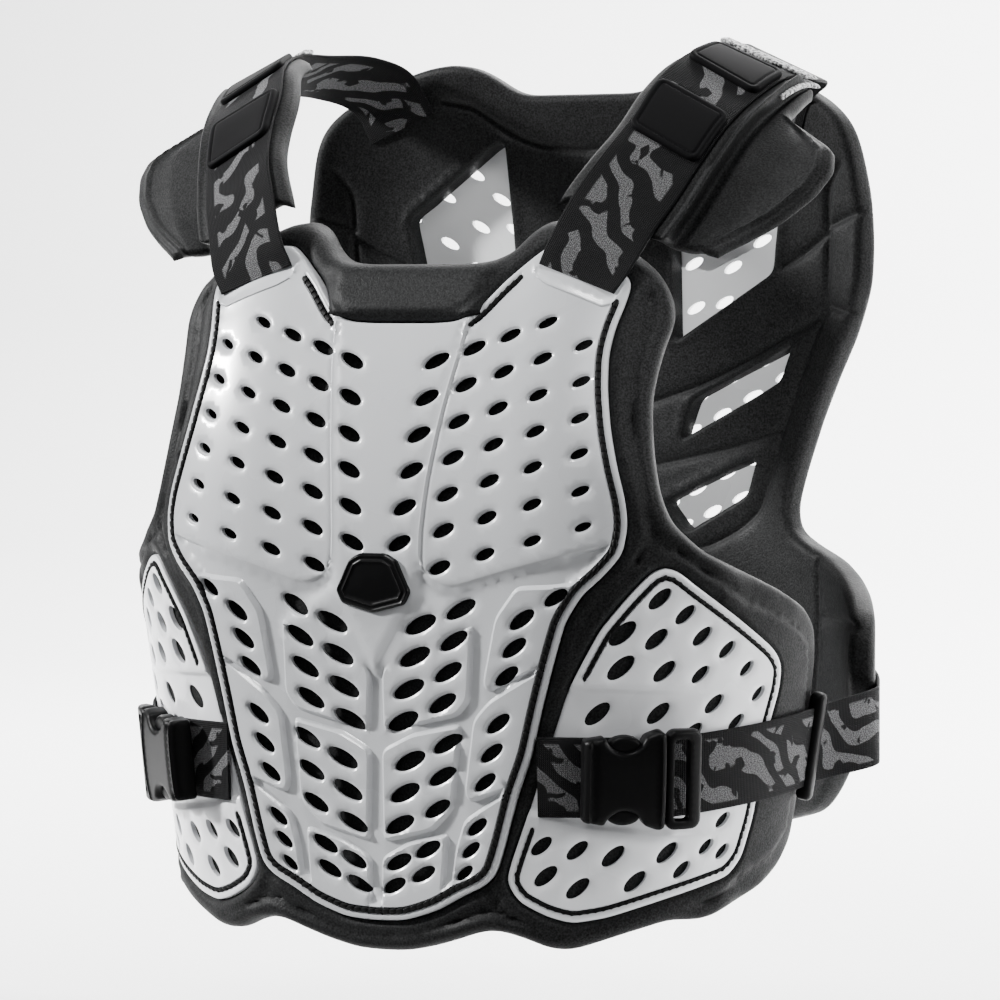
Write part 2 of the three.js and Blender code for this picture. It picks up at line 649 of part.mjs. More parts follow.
function buckleBody(side) {
  const length = buckleBodyLength;
  const width = buckleBodyWidth;
  const shape = new THREE.Shape();
  shape.moveTo(-length / 2, -width * 0.41);
  shape.lineTo(-length / 2 + buckleNotch, -width * 0.41);
  shape.absarc(0, -width * 0.5, buckleNotch, Math.PI * 0.85, Math.PI * 0.15, true);
  shape.lineTo(length / 2, -width / 2);
  shape.lineTo(length / 2, width / 2);
  shape.absarc(0, width * 0.5, buckleNotch, -Math.PI * 0.15, -Math.PI * 0.85, true);
  shape.lineTo(-length / 2 + buckleNotch, width * 0.41);
  shape.lineTo(-length / 2, width * 0.41);
  const options = { depth: buckleThickness, bevelEnabled: false, curveSegments: 6 };
  const body = new THREE.ExtrudeGeometry(shape, options);
  body.translate(bodyOffset, 0, 0);
  return placed(body, faceFrame(buckleAcross, waistZ, buckleLift, side));
}

const buckleLength = buckleBodyLength + gap + tongueLength;
const bodyOffset = (buckleBodyLength - buckleLength) / 2;
const tongueOffset = (buckleLength - tongueLength) / 2;
function buckleTongue(side) {
  const width = buckleBodyWidth;
  const middle = buckleThickness / 2;
  const frame = solidFrom(block(tongueLength, width, tongueThickness, tongueOffset, 0, middle));
  const window = solidFrom(block(tongueWindowLength, waistWebbing, tongueThickness * 3, tongueOffset, 0, middle));
  return placed(fromSolid(frame.subtract(window)), faceFrame(buckleAcross, waistZ, buckleLift, side));
}

// Webbing round the waist: each stop is a place on the front or the back, and the webbing lies flat on it
function waistRibbon(stops, side) {
  const grid = stops.map(({ face, across, z, lift }) =>
    [-0.5, 0, 0.5].map((share) => face(across, z + share * waistWebbing, lift)),
  );
  return sidedWall(grid, side, () => webbingWall / 2, () => -webbingWall / 2, -1);
}

const webbingLift = 2 * gap + webbingWall / 2;
function frontWaistStrap(side) {
  const stops = evenly(waistSlot, buckleAcross + bodyOffset, 12).map((across) => ({
    face: frontPoint,
    across,
    z: waistZ,
    lift: webbingLift,
  }));
  return waistRibbon(stops, side);
}

// The rear webbing climbs a little on its way to the back
const webbingClimb = 0.1;
const webbingStop = 14; // distance from stop to stop
const backWebbingLead = 8; // how far before the side wing's edge the webbing meets the back's face
const backWebbingRun = 48; // how far it then runs on the wing
const backWebbingRise = 12;
const backWebbingClimb = 3;
const rearStart = buckleAcross + tongueOffset;
const rearZ = (across) => waistZ + webbingClimb * (across - rearStart);
function rearWaistStrap(side) {
  const onFront = evenly(rearStart, frontReach + sliderLength / 2, webbingStop).map((across) => ({
    face: frontPoint,
    across,
    z: rearZ(across),
    lift: webbingLift,
  }));
  const onBack = evenly(backReach + backWebbingLead, backReach - backWebbingRun, webbingStop).map((across, k) => ({
    face: backPoint,
    across,
    z: rearZ(frontReach) + backWebbingRise + backWebbingClimb * k,
    lift: backFoamWall + webbingLift,
  }));
  return waistRibbon(onFront.concat(onBack), side);
}

function slider(side) {
  const across = frontReach - sliderLength / 2;
  const opening = webbingWall + 2 * sliderRoom;
  const frame = solidFrom(block(sliderLength, sliderWidth, opening + 2 * sliderBar));
  const slot = solidFrom(block(sliderLength * 3, sliderWidth - 2 * sliderSide, opening));
  return placed(fromSolid(frame.subtract(slot)), faceFrame(across, rearZ(across), webbingLift, side));
}

function backPatch() {
  const columns = evenly(-patchWidth / 2, patchWidth / 2, patchWidth / 2);
  const rows = evenly(-patchDrop - patchHeight / 2, -patchDrop + patchHeight / 2, patchHeight / 2);
  const sheet = (lift) => rows.map((z) => columns.map((across) => backPoint(across, z, lift)));
  return between(sheet(-gap - patchWall), sheet(-gap));
}

// The assembly
const finishes = {
  foam: { color: 0x24262a, roughness: 0.85, metalness: 0 },
  plate: { color: 0xe9eaec, roughness: 0.3, metalness: 0 },
  badge: { color: 0x0b0b0c, roughness: 0.15, metalness: 0 },
  webbing: { color: 0x141416, roughness: 0.8, metalness: 0 },
  hard: { color: 0x1b1b1d, roughness: 0.4, metalness: 0 },
  rubber: { color: 0x1e1e20, roughness: 0.55, metalness: 0 },
};

const group = new THREE.Group();
function addPiece(name, finish, geometry) {
  const mesh = new THREE.Mesh(geometry, new THREE.MeshStandardMaterial(finishes[finish]));
  mesh.name = name;
  group.add(mesh);
}

addPiece("front_foam", "foam", frontFoam());
addPiece("chest_plate", "plate", chestPlate());
addPiece("badge", "badge", badge());
addPiece("back_foam", "foam", backFoam());
addPiece("back_plate", "plate", backPlate());
addPiece("back_patch", "webbing", backPatch());
for (const [side, name] of [[1, "left"], [-1, "right"]]) {
  addPiece(`flank_plate_${name}`, "plate", flankPlate(side));
  addPiece(`shoulder_strap_${name}`, "webbing", shoulderStrap(side));
  addPiece(`shoulder_pad_${name}`, "foam", shoulderPad(side));
  addPiece(`front_tab_${name}`, "rubber", strapTab(side, frontTabRow, frontTabLength));
  addPiece(`rear_tab_${name}`, "rubber", strapTab(side, rearTabRow, rearTabLength));
  addPiece(`waist_strap_front_${name}`, "webbing", frontWaistStrap(side));
  addPiece(`waist_strap_rear_${name}`, "webbing", rearWaistStrap(side));
  addPiece(`buckle_body_${name}`, "hard", buckleBody(side));
  addPiece(`buckle_tongue_${name}`, "hard", buckleTongue(side));
  addPiece(`strap_slider_${name}`, "hard", slider(side));
}

export default group;
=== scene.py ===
"""Looks of the roost deflector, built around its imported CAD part.

Sizes are in millimetres in the part's frame, and each piece is scaled to metres when it is made.
Across runs round the body from its centre line, and lift is along the outward normal of the body's face.
"""

import math

import bpy
import numpy as np
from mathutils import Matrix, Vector
from mathutils.geometry import delaunay_2d_cdt


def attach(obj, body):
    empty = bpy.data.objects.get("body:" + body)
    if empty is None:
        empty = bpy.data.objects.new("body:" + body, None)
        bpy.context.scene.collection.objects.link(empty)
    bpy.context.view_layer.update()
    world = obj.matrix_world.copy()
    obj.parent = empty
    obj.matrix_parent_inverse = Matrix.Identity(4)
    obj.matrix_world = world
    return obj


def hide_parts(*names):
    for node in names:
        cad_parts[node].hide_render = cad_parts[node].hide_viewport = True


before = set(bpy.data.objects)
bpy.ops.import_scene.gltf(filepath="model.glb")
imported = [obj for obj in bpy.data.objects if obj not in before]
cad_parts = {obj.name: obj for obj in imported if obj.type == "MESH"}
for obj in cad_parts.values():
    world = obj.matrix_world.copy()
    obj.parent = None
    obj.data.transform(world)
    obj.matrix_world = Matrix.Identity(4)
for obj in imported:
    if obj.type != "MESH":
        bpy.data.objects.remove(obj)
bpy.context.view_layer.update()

MM = 0.001
SIDES = ((1, "left"), (-1, "right"))

# Sizes of the front and of the back
FRONT_REACH = 256
FRONT_DROP = 447
CHEST_DEPTH = 137.5
LEAN_DROP = 262
NECK_SETBACK = 48
NECK_RISE = 170
BEND = 125
FRONT_FLAT = 70
HEM_FLAT = 40
BACK_REACH = 228
BACK_DROP = 412
BACK_DEPTH = 118
BACK_LEAN_DROP = 212
NAPE_SETBACK = 25
BACK_FLAT = 67
SHOULDER_FLAT = 102
SHOULDER_FLAT_RISE = 200

# Walls and lifts
PLATE_WALL = 2.7
FOAM_TOP = -3.5
FOAM_WALL = 12
BACK_FOAM_WALL = 12
BACK_PLATE_LOW = 13.6
BACK_PLATE_WALL = 3
WEBBING_WALL = 1.8
WEBBING_LIFT = 1.5
WAIST_WEBBING = 40
WAIST_Z = -0.795 * FRONT_DROP

# Outlines, right half, in thousandths of the reach and of the drop
CHEST_EDGE = [
    (0, 295), (70, 295), (125, 293), (154, 284), (180, 267), (211, 246), (266, 217), (297, 204), (352, 210),
    (438, 235), (469, 248), (465, 271), (453, 300), (449, 329), (457, 367), (473, 412), (492, 452),
    (512, 488), (520, 515), (512, 548), (473, 574), (434, 593), (400, 624), (377, 669), (355, 716),
    (332, 772), (301, 820), (277, 872), (258, 906), (234, 919), (188, 931), (133, 949), (66, 962), (0, 964),
]
FOAM_EDGE = [
    (0, 228), (109, 228), (168, 226), (203, 211), (234, 188), (270, 177), (328, 181), (391, 197),
    (461, 217), (512, 235), (543, 253), (566, 273), (574, 295), (562, 320), (555, 349), (551, 378),
    (559, 412), (570, 447), (586, 483), (613, 515), (680, 546), (758, 565), (877, 592), (961, 613),
    (1008, 638), (1022, 676), (1018, 738), (990, 843), (977, 883), (932, 910), (867, 931), (781, 946),
    (691, 962), (609, 960), (516, 973), (406, 991), (359, 989), (312, 978), (258, 970), (219, 972),
    (176, 980), (117, 991), (55, 999), (0, 1000),
]
FLANK_EDGE = [
    (598, 562), (570, 568), (520, 597), (469, 631), (430, 671), (402, 702), (383, 734), (320, 841),
    (289, 890), (277, 913), (301, 935), (355, 951), (406, 959), (473, 953), (586, 935), (738, 913),
    (773, 893), (801, 848), (836, 747), (863, 702), (867, 676), (844, 658), (660, 584), (625, 568),
]
BACK_EDGE = [
    (0, 19), (149, 19), (184, 12), (219, -2), (268, -17), (329, -24), (404, -19), (491, -5), (570, 15),
    (627, 32), (667, 49), (697, 70), (715, 97), (728, 133), (741, 175), (746, 223), (741, 272), (719, 303),
    (689, 340), (636, 388), (583, 447), (539, 512), (513, 561), (522, 590), (596, 609), (693, 624),
    (763, 638), (846, 658), (939, 687), (991, 723), (1000, 762), (956, 801), (833, 840), (746, 881),
    (667, 930), (614, 954), (482, 973), (263, 990), (0, 1000),
]
BACK_PLATE_EDGE = [
    (0, 60), (300, 60), (520, 130), (560, 200), (560, 330), (500, 460), (440, 580), (420, 700), (400, 850),
    (300, 920), (0, 940),
]
BACK_WINDOWS = [
    [(469, 255), (491, 182), (250, 87), (215, 80), (202, 347)],
    [(250, 422), (522, 347), (487, 396), (215, 476)],
    [(175, 558), (421, 495), (395, 546), (232, 597)],
]

# Vents of the chest plate: first and last place as shares, count, first and last length, slimness, tilt
VENT_RUNS = [
    ((0.094, 0.337), (0.317, 0.294), 4, 15.5, 11.0, 0.43, 24),
    ((0.085, 0.378), (0.398, 0.319), 5, 14.77, 9.604, 0.47, 24),
    ((0.077, 0.419), (0.404, 0.359), 5, 14.77, 9.604, 0.47, 24),
    ((0.069, 0.459), (0.411, 0.399), 5, 14.77, 9.604, 0.47, 24),
    ((0.06, 0.5), (0.417, 0.438), 5, 14.77, 9.604, 0.47, 24),
    ((0.052, 0.54), (0.425, 0.479), 5, 14.77, 9.604, 0.47, 24),
    ((0.139, 0.566), (0.434, 0.518), 4, 13.54, 8.618, 0.47, 22),
    ((0.098, 0.63), (0.059, 0.739), 4, 19.8, 19.8, 0.41, 24),
    ((0.075, 0.783), (0.052, 0.855), 3, 19.6, 18.6, 0.41, 25),
    ((0.05, 0.897), (0.039, 0.924), 2, 16.4, 15.4, 0.43, 25),
    ((0.183, 0.612), (0.146, 0.717), 4, 18.2, 18.2, 0.40, 29),
    ((0.155, 0.762), (0.135, 0.835), 3, 18.0, 17.0, 0.40, 29),
    ((0.114, 0.881), (0.104, 0.909), 2, 16.5, 15.5, 0.42, 27),
    ((0.384, 0.596), (0.384, 0.596), 1, 14.0, 14.0, 0.44, 33),
    ((0.316, 0.621), (0.284, 0.684), 3, 16.2, 15.6, 0.42, 35),
    ((0.266, 0.737), (0.238, 0.803), 3, 15.6, 14.6, 0.42, 36),
    ((0.221, 0.853), (0.194, 0.905), 3, 13.6, 11.6, 0.44, 37),
]

# Vents of a flank plate: across, height above the badge, length and width
FLANK_VENTS = [
    (150, -5, 14.8, 6.6), (163, -13, 13.5, 6.1), (131, -22, 17.2, 7.8), (148, -25, 14.8, 6.6),
    (172, -24, 13.5, 6.1), (186, -31, 12.3, 5.5), (198, -41, 11, 5), (130, -39, 17.2, 7.8),
    (152, -41, 14.8, 6.6), (171, -43, 12.3, 5.5), (206, -54, 11, 5), (118, -62, 15.9, 7.2),
    (149, -62, 14.8, 6.6), (179, -58, 13.5, 6.1), (192, -68, 12.3, 5.5), (167, -72, 13.5, 6.1),
    (185, -117, 11, 5), (89, -128, 13.5, 6.1), (107, -130, 13.5, 6.1), (125, -133, 14.8, 6.6),
    (153, -132, 14.8, 6.6), (175, -130, 11, 5), (185, -133, 11, 5), (91, -143, 14.8, 6.6),
    (107, -149, 14.8, 6.6), (136, -146, 14.8, 6.6), (161, -141, 12.3, 5.5),
]
FLANK_TILT = 40

# Slots of the back plate: across and height above the badge
BACK_SLOTS = [
    (116, 189), (95, 200), (76, 212), (61, 198), (75, 183), (95, 174), (116, 165), (54, 162), (54, 181),
    (71, 141), (54, 138), (99, 152), (77, 160), (111, 117), (93, 109), (75, 100), (56, 90), (104, 101),
    (86, 90), (68, 80), (50, 71), (37, 30), (53, 39), (71, 48), (88, 56), (79, 35), (62, 27), (45, 19),
]
BACK_SLOT_SIZE = (12, 5)
BACK_SLOT_TILT = 28

# Raised areas of the chest plate, right half: across and height above the badge
SIDE_PANEL = [
    (37.5, 132), (35, 112), (31, 86), (26.5, 51), (24.5, 26), (24.5, 12), (28, 4), (34, 0), (44, -1.5),
    (71, 6.5), (103, 15), (128, 21), (160, 40), (160, 200), (37.5, 200),
]
CENTRE_BAND = [
    (60, 200), (37.5, 132), (35, 112), (31, 86), (26.5, 51), (24.5, 26), (24.5, 6), (22, -8), (0, -46),
]
BELOW_BADGE = [
    (0, 12), (24, 8), (36, -2), (50, -9), (57, -20), (55, -34), (8, -54), (3.5, -50), (0, -46),
]
LOWER_PANELS = [
    [(55, -18), (53, -57), (46, -65), (3.5, -75), (2.5, -44), (6, -39)],
    [(48, -68), (44, -111), (32, -123), (3.5, -130), (2.5, -83), (20, -74)],
    [(41, -123), (36, -180), (2.5, -180), (2.5, -137), (19, -128)],
    [(78, 1), (66, -15), (59, -49), (62, -53), (84, -43), (120, -26), (120, 6), (98, 2)],
    [(120, -24), (84, -43), (63, -56), (54, -66), (49, -103), (52, -108), (72, -101), (100, -91)],
    [(100, -88), (72, -101), (49, -116), (44, -132), (37, -180), (100, -180)],
]

# Grooves of the back pad, right half: across and height above the badge
BACK_GROOVES = [
    [(155, 214), (145, 201), (145, 179), (144, 152), (143, 136), (135, 125), (124, 101), (113, 73), (104, 47),
     (97, 28), (84, 18), (66, 9), (30, 2), (0, 0)],
    [(144, 181), (155, 185), (175, 190)],
    [(144, 140), (154, 137), (175, 134)],
    [(112, 160), (124, 165), (144, 177)],
    [(0, 76), (36, 88), (61, 96), (85, 107), (106, 118), (123, 126), (143, 136)],
    [(0, 46), (41, 54), (60, 58), (78, 62), (96, 67), (113, 73)],
    [(146, 3), (147, -23), (146, -45), (140, -90)],
    [(147, -26), (189, -26), (230, -27)],
    [(84, 251), (67, 248), (50, 236), (39, 230), (27, 226), (0, 224)],
]

# Shoulder strap: its top, and each edge as a portion of the way in X, Y and Z
SHOULDER_HALF = 122
STRAP_WIDTH = 41
STRAP_TOP = 11
STRAP_SLOPE = 18
STRAP_FORWARD = 2
STRAP_CLIMB = [
    ((0.0, 0.0, 0.0), (0.0, 0.0, 0.0)),
    ((0.11, 0.0, 0.106), (0.146, 0.04, 0.106)),
    ((0.31, 0.09, 0.32), (0.31, 0.14, 0.28)),
    ((0.49, 0.2, 0.48), (0.455, 0.24, 0.42)),
    ((0.635, 0.37, 0.637), (0.605, 0.38, 0.6)),
    ((0.725, 0.55, 0.8), (0.74, 0.53, 0.76)),
    ((0.88, 0.73, 0.93), (0.87, 0.72, 0.89)),
    ((1.0, 1.0, 1.0), (1.0, 1.0, 1.0)),
]
STRAP_FALL = [
    ((0.0, 0.375, -0.06), (-0.03, 0.4, 0.0)),
    ((0.34, 0.716, -0.06), (0.27, 0.76, 0.03)),
    ((0.72, 0.89, 0.22), (0.73, 0.93, 0.31)),
    ((1.0, 1.0, 1.0), (1.0, 1.0, 1.0)),
]
STRAP_FOOT = ((0.277, 0.228), (0.438, 0.262))
STRAP_HEAD = ((0.395, 0.039), (0.57, 0.08))
STRAP_ROWS = 11
PAD_ROWS = (1.85, 7.0)
PAD_OVERHANG = 10
PAD_FOLD = 5
BEAD_WIDTH = 9
BEAD_SETBACK = 10
CAP_REACH = 44
# Shoulder cap: row of the strap, then out, back and drop as shares of the reach
CAP_EDGE = [
    (1.85, 0.5, -0.04, 0.04), (2.4, 0.72, 0.02, 0.06), (3.1, 0.94, 0.08, 0.09), (3.76, 1.1, 0.14, 0.12),
    (4.4, 1.12, 0.18, 0.12), (5.0, 0.98, 0.14, 0.12), (5.6, 0.55, 0.05, 0.12), (6.1, 0.14, 0.0, 0.1),
    (7.0, 0.08, 0.0, 0.08),
]
TAB_ROWS = (3.85, 6.05)
TAB_LENGTHS = (35, 27)
TAB_WIDTH = 38.6
# Line below the strap's end, where the plate stands up around it
STRAP_REST = [(68.5, 160), (70, 154.5), (77, 150.5), (94, 144.5), (107, 139.5), (113, 141), (116, 149)]

# Buckle and slider
BUCKLE_ACROSS = 138
BUCKLE_LIFT = 2.9
BODY_SIZE = (41, 50)
BODY_OFFSET = -9.65
TONGUE_SIZE = (19, 50)
TONGUE_OFFSET = 20.65
BUCKLE_THICKNESS = 13
NOTCH = 10.5
WEBBING_CLIMB = 0.1


# Faces of the body
def wrapped(across, z, lift, flat, depth, facing):
    run = np.abs(across)
    turn = np.maximum(run - flat, 0) / BEND
    x = np.minimum(run, flat) + (BEND + lift) * np.sin(turn)
    y = depth + facing * (BEND - (BEND + lift) * np.cos(turn))
    return np.stack([np.sign(across) * x, y, z + 0 * x], axis=-1)


def front_point(across, z, lift):
    height = z + LEAN_DROP
    hem = np.clip(-height / (FRONT_DROP - LEAN_DROP), 0, 1)
    flat = FRONT_FLAT + (HEM_FLAT - FRONT_FLAT) * hem
    lean = np.where(height > 0, NECK_SETBACK * (height / NECK_RISE) ** 2, 0)
    return wrapped(across, z, lift, flat, lean - CHEST_DEPTH, 1)


def back_point(across, z, lift):
    height = z + BACK_LEAN_DROP
    rise = np.clip((z + LEAN_DROP) / SHOULDER_FLAT_RISE, 0, 1)
    flat = BACK_FLAT + (SHOULDER_FLAT - BACK_FLAT) * rise
    lean = np.where(height > 0, NAPE_SETBACK * (height / BACK_LEAN_DROP) ** 2, 0)
    return wrapped(across, z, lift, flat, BACK_DEPTH - lean, -1)


# Loops and distances
def smooth_step(value):
    share = np.clip(value, 0, 1)
    return share * share * (3 - 2 * share)


def bell(value, width):
    return np.exp(-((value / width) ** 2))


def edge_drop(depth, radius):
    """How far a rounded edge lies below the face, at a depth inside the edge."""
    inner = np.clip(1 - depth / radius, 0, 1)
    return radius * (1 - np.sqrt(1 - inner**2))


def half_loop(edge, reach, drop):
    return np.array([(across / 1000 * reach, -down / 1000 * drop) for across, down in edge])


def both_halves(half):
    other = half[half[:, 0] > 0] * (-1, 1)
    return np.concatenate([half, other[::-1]])


def mirrored(line):
    return [line, line * (-1, 1)]


def right_half(points):
    """The points, with those of the left half mirrored onto the right one."""
    return np.abs(points) * (1, 0) + points * (0, 1)


def above_badge(points):
    """Points given as across and height above the badge, in the part's frame."""
    return np.array(points, dtype=float) - (0, LEAN_DROP)


def resampled(path, step, closed=True):
    ends = np.concatenate([path, path[:1]]) if closed else path
    lengths = np.linalg.norm(np.diff(ends, axis=0), axis=1)
    travel = np.concatenate([[0], np.cumsum(lengths)])
    count = max(int(round(travel[-1] / step)), 3)
    places = np.linspace(0, travel[-1], count + 1)
    if closed:
        places = places[:-1]
    return np.stack([np.interp(places, travel, ends[:, k]) for k in range(ends.shape[1])], axis=1)


def rounded(path, step, passes, closed=True):
    points = resampled(path, step, closed)
    for _ in range(passes):
        if closed:
            points = 0.5 * points + 0.25 * (np.roll(points, 1, 0) + np.roll(points, -1, 0))
        else:
            points[1:-1] = 0.5 * points[1:-1] + 0.25 * (points[2:] + points[:-2])
    return resampled(points, step, closed)


def turned_left(loop):
    following = np.roll(loop, -1, 0)
    area = np.sum(loop[:, 0] * following[:, 1] - following[:, 0] * loop[:, 1])
    return loop if area > 0 else loop[::-1]


def inset(loop, offset):
    """The loop moved inwards by offset. A negative offset moves it outwards."""
    along = np.roll(loop, -1, 0) - np.roll(loop, 1, 0)
    along /= np.linalg.norm(along, axis=1, keepdims=True)
    return loop + offset * np.stack([-along[:, 1], along[:, 0]], axis=1)


def distance(points, path, closed=True):
    starts = path if closed else path[:-1]
    ends = np.roll(path, -1, 0) if closed else path[1:]
    step = ends - starts
    square = np.maximum(np.sum(step * step, axis=1), 1e-12)
    found = []
    for first in range(0, len(points), 2000):
        offset = points[first : first + 2000, None] - starts
        share = np.clip(np.sum(offset * step, axis=2) / square, 0, 1)
        gap = offset - share[..., None] * step
        found.append(np.sqrt(np.min(np.sum(gap * gap, axis=2), axis=1)))
    return np.concatenate(found) if found else np.zeros(0)


def inside(points, loop):
    following = np.roll(loop, -1, 0)
    level = loop[:, 1] - following[:, 1]
    level = np.where(level == 0, 1e-12, level)
    found = []
    for first in range(0, len(points), 4000):
        x = points[first : first + 4000, :1]
        y = points[first : first + 4000, 1:]
        crosses = (loop[:, 1] > y) != (following[:, 1] > y)
        at = loop[:, 0] + (y - loop[:, 1]) * (loop[:, 0] - following[:, 0]) / level
        found.append(np.sum(crosses & (x < at), axis=1) % 2 == 1)
    return np.concatenate(found) if found else np.zeros(0, bool)


def depth_inside(points, loop):
    gap = distance(points, loop)
    return np.where(inside(points, loop), gap, -gap)


def oval(centre, length, width, tilt, sides=18):
    angle = np.linspace(0, 2 * math.pi, sides, endpoint=False)
    x = np.cos(angle) * length / 2
    y = np.sin(angle) * width / 2
    turn = math.radians(tilt)
    return np.stack(
        [
            centre[0] + x * math.cos(turn) - y * math.sin(turn),
            centre[1] + x * math.sin(turn) + y * math.cos(turn),
        ],
        axis=1,
    )


def kept_apart(points, settled, gap):
    """The points that lie at least gap from the settled ones and from each other."""
    cells = {}

    def cell(point):
        return int(point[0] // gap), int(point[1] // gap)

    def free(point):
        column, row = cell(point)
        for c in (column - 1, column, column + 1):
            for r in (row - 1, row, row + 1):
                for other in cells.get((c, r), ()):
                    if (other[0] - point[0]) ** 2 + (other[1] - point[1]) ** 2 < gap * gap:
                        return False
        return True

    for point in settled:
        cells.setdefault(cell(point), []).append(point)
    kept = []
    for point in points:
        if free(point):
            cells.setdefault(cell(point), []).append(point)
            kept.append(point)
    return np.array(kept).reshape(-1, 2)


class Sheet:
    """A flat sheet of triangles, trimmed to an outline and pierced by holes."""

    def __init__(self, outline, holes=(), rings=(), hole_rings=(), lines=(), spacing=3.0):
        outline = turned_left(outline)
        holes = [turned_left(hole) for hole in holes]
        loops = [outline, *holes]
        edges = []
        start = 0
        for loop in loops:
            edges += [(start + k, start + (k + 1) % len(loop)) for k in range(len(loop))]
            start += len(loop)
        border = np.concatenate(loops)
        settled = [border]
        for offset in rings:
            ring = inset(outline, offset)
            clear = inside(ring, outline) & (distance(ring, outline) > 0.97 * offset)
            settled.append(ring[clear])
        for offset in hole_rings:
            for hole in holes:
                ring = inset(hole, -offset)
                settled.append(ring[inside(ring, outline)])
        settled = np.concatenate(settled)
        low = outline.min(axis=0)
        high = outline.max(axis=0)
        grid = []
        for row, y in enumerate(np.arange(low[1], high[1], spacing * 0.866)):
            shift = spacing / 2 * (row % 2)
            grid += [(x, y) for x in np.arange(low[0] + shift, high[0], spacing)]
        grid = np.array(grid)
        grid = grid[inside(grid, outline)]
        for line in lines:
            wanted = line[inside(line, outline)]
            settled = np.concatenate([settled, kept_apart(wanted, settled, 0.6)])
        grid = kept_apart(grid, settled, spacing * 0.62)
        every = np.concatenate([settled, grid])
        vertices, _, faces, *_ = delaunay_2d_cdt([Vector(p) for p in every], edges, [], 0, 1e-6)
        points = np.array([tuple(v) for v in vertices])
        triangles = np.array([face for face in faces if len(face) == 3])
        middle = points[triangles].mean(axis=1)
        keep = inside(middle, outline)
        for hole in holes:
            near = np.all((middle > hole.min(axis=0)) & (middle < hole.max(axis=0)), axis=1)
            index = np.nonzero(near)[0]
            keep[index] &= ~inside(middle[index], hole)
        triangles = triangles[keep]
        used = np.unique(triangles)
        renumber = np.full(len(points), -1)
        renumber[used] = np.arange(len(used))
        self.points = points[used]
        self.triangles = renumber[triangles]
        self.edge = distance(self.points, outline)
        self.hole = np.full(len(self.points), 99.0)
        reach = 6
        for hole in holes:
            low = hole.min(axis=0) - reach
            high = hole.max(axis=0) + reach
            near = np.all((self.points > low) & (self.points < high), axis=1)
            index = np.nonzero(near)[0]
            self.hole[index] = np.minimum(self.hole[index], distance(self.points[index], hole))

    def border_edges(self):
        count = {}
        for a, b, c in self.triangles:
            for edge in ((a, b), (b, c), (c, a)):
                if (edge[1], edge[0]) in count:
                    del count[(edge[1], edge[0])]
                else:
                    count[edge] = True
        return np.array(list(count))


# Making pieces
def signed_volume(vertices, triangles):
    a, b, c = (vertices[triangles[:, k]] for k in range(3))
    return np.sum(a * np.cross(b, c)) / 6


def new_object(name, data):
    placed = bpy.data.objects.new(name, data)
    bpy.context.scene.collection.objects.link(placed)
    return placed


def make_piece(name, vertices, triangles, materials, marks=None, uv=None, sharp=40):
    """A piece in the scene. Marked triangles get the second material."""
    if signed_volume(vertices, triangles) < 0:
        triangles = triangles[:, ::-1]
    mesh = bpy.data.meshes.new(name)
    mesh.from_pydata((vertices * MM).tolist(), [], triangles.tolist())
    for material in materials:
        mesh.materials.append(material)
    if marks is not None:
        mesh.polygons.foreach_set("material_index", marks.astype(np.int32))
    if uv is not None:
        layer = mesh.uv_layers.new(name="UVMap")
        layer.data.foreach_set("uv", (uv[triangles.reshape(-1)] / 100).reshape(-1))
    mesh.shade_smooth()
    mesh.set_sharp_from_angle(angle=math.radians(sharp))
    mesh.update()
    return new_object(name, mesh)


def closed_piece(name, upper, lower, faces, edges, materials, side, sharp, marks=None, uv=None):
    """A closed piece between two layers of points that share their faces and border edges."""
    count = len(upper)
    a, b = edges.T
    walls = np.concatenate([np.stack([b, a, a + count], 1), np.stack([b, a + count, b + count], 1)])
    triangles = np.concatenate([faces, faces[:, ::-1] + count, walls])
    vertices = np.concatenate([upper, lower]) * (side, 1, 1)
    if marks is not None:
        marks = np.concatenate([marks, np.zeros(len(triangles) - len(marks), bool)])
    if uv is not None:
        uv = np.concatenate([uv, uv])
    return make_piece(name, vertices, triangles, materials, marks, uv, sharp)


def shell(name, sheet, place, top, bottom, materials, marks=None, side=1, sharp=40):
    """A closed piece between two heights over a sheet, laid on a face of the body."""
    layers = [place(*sheet.points.T, height) for height in (top, bottom)]
    return closed_piece(name, *layers, sheet.triangles, sheet.border_edges(), materials, side, sharp, marks)


def grid_shell(name, upper, lower, materials, side, sharp, uv=None):
    """A closed piece between two grids of points."""
    rows, columns = upper.shape[:2]
    index = np.arange(rows * columns).reshape(rows, columns)
    quads = np.stack([index[:-1, :-1], index[:-1, 1:], index[1:, 1:], index[1:, :-1]], axis=-1).reshape(-1, 4)
    faces = np.concatenate([quads[:, [0, 1, 2]], quads[:, [0, 2, 3]]])
    rim = np.concatenate([index[0], index[1:, -1], index[-1, -2::-1], index[-2:0:-1, 0]])
    edges = np.stack([rim, np.roll(rim, -1)], axis=1)
    layers = upper.reshape(-1, 3), lower.reshape(-1, 3)
    return closed_piece(name, *layers, faces, edges, materials, side, sharp, None, uv)


def settle(piece, slot, *nodes, padded=False):
    if nodes:
        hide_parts(*nodes)
    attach(piece, "root")


def dress(node, slot, sheet, place, top, bottom, materials, padded=False, **options):
    """The finished form of a CAD node, as a shell over a sheet."""
    piece = shell(node + "_look", sheet, place, top, bottom, materials, **options)
    settle(piece, slot, node, padded=padded)


# Materials
def new_material(name, colour, roughness, coat=0.0, specular=0.5):
    material = bpy.data.materials.new(name)
    material.use_nodes = True
    inputs = material.node_tree.nodes["Principled BSDF"].inputs
    inputs["Base Color"].default_value = (*colour, 1)
    inputs["Roughness"].default_value = roughness
    inputs["Coat Weight"].default_value = coat
    inputs["Coat Roughness"].default_value = 0.12
    inputs["Specular IOR Level"].default_value = specular
    return material


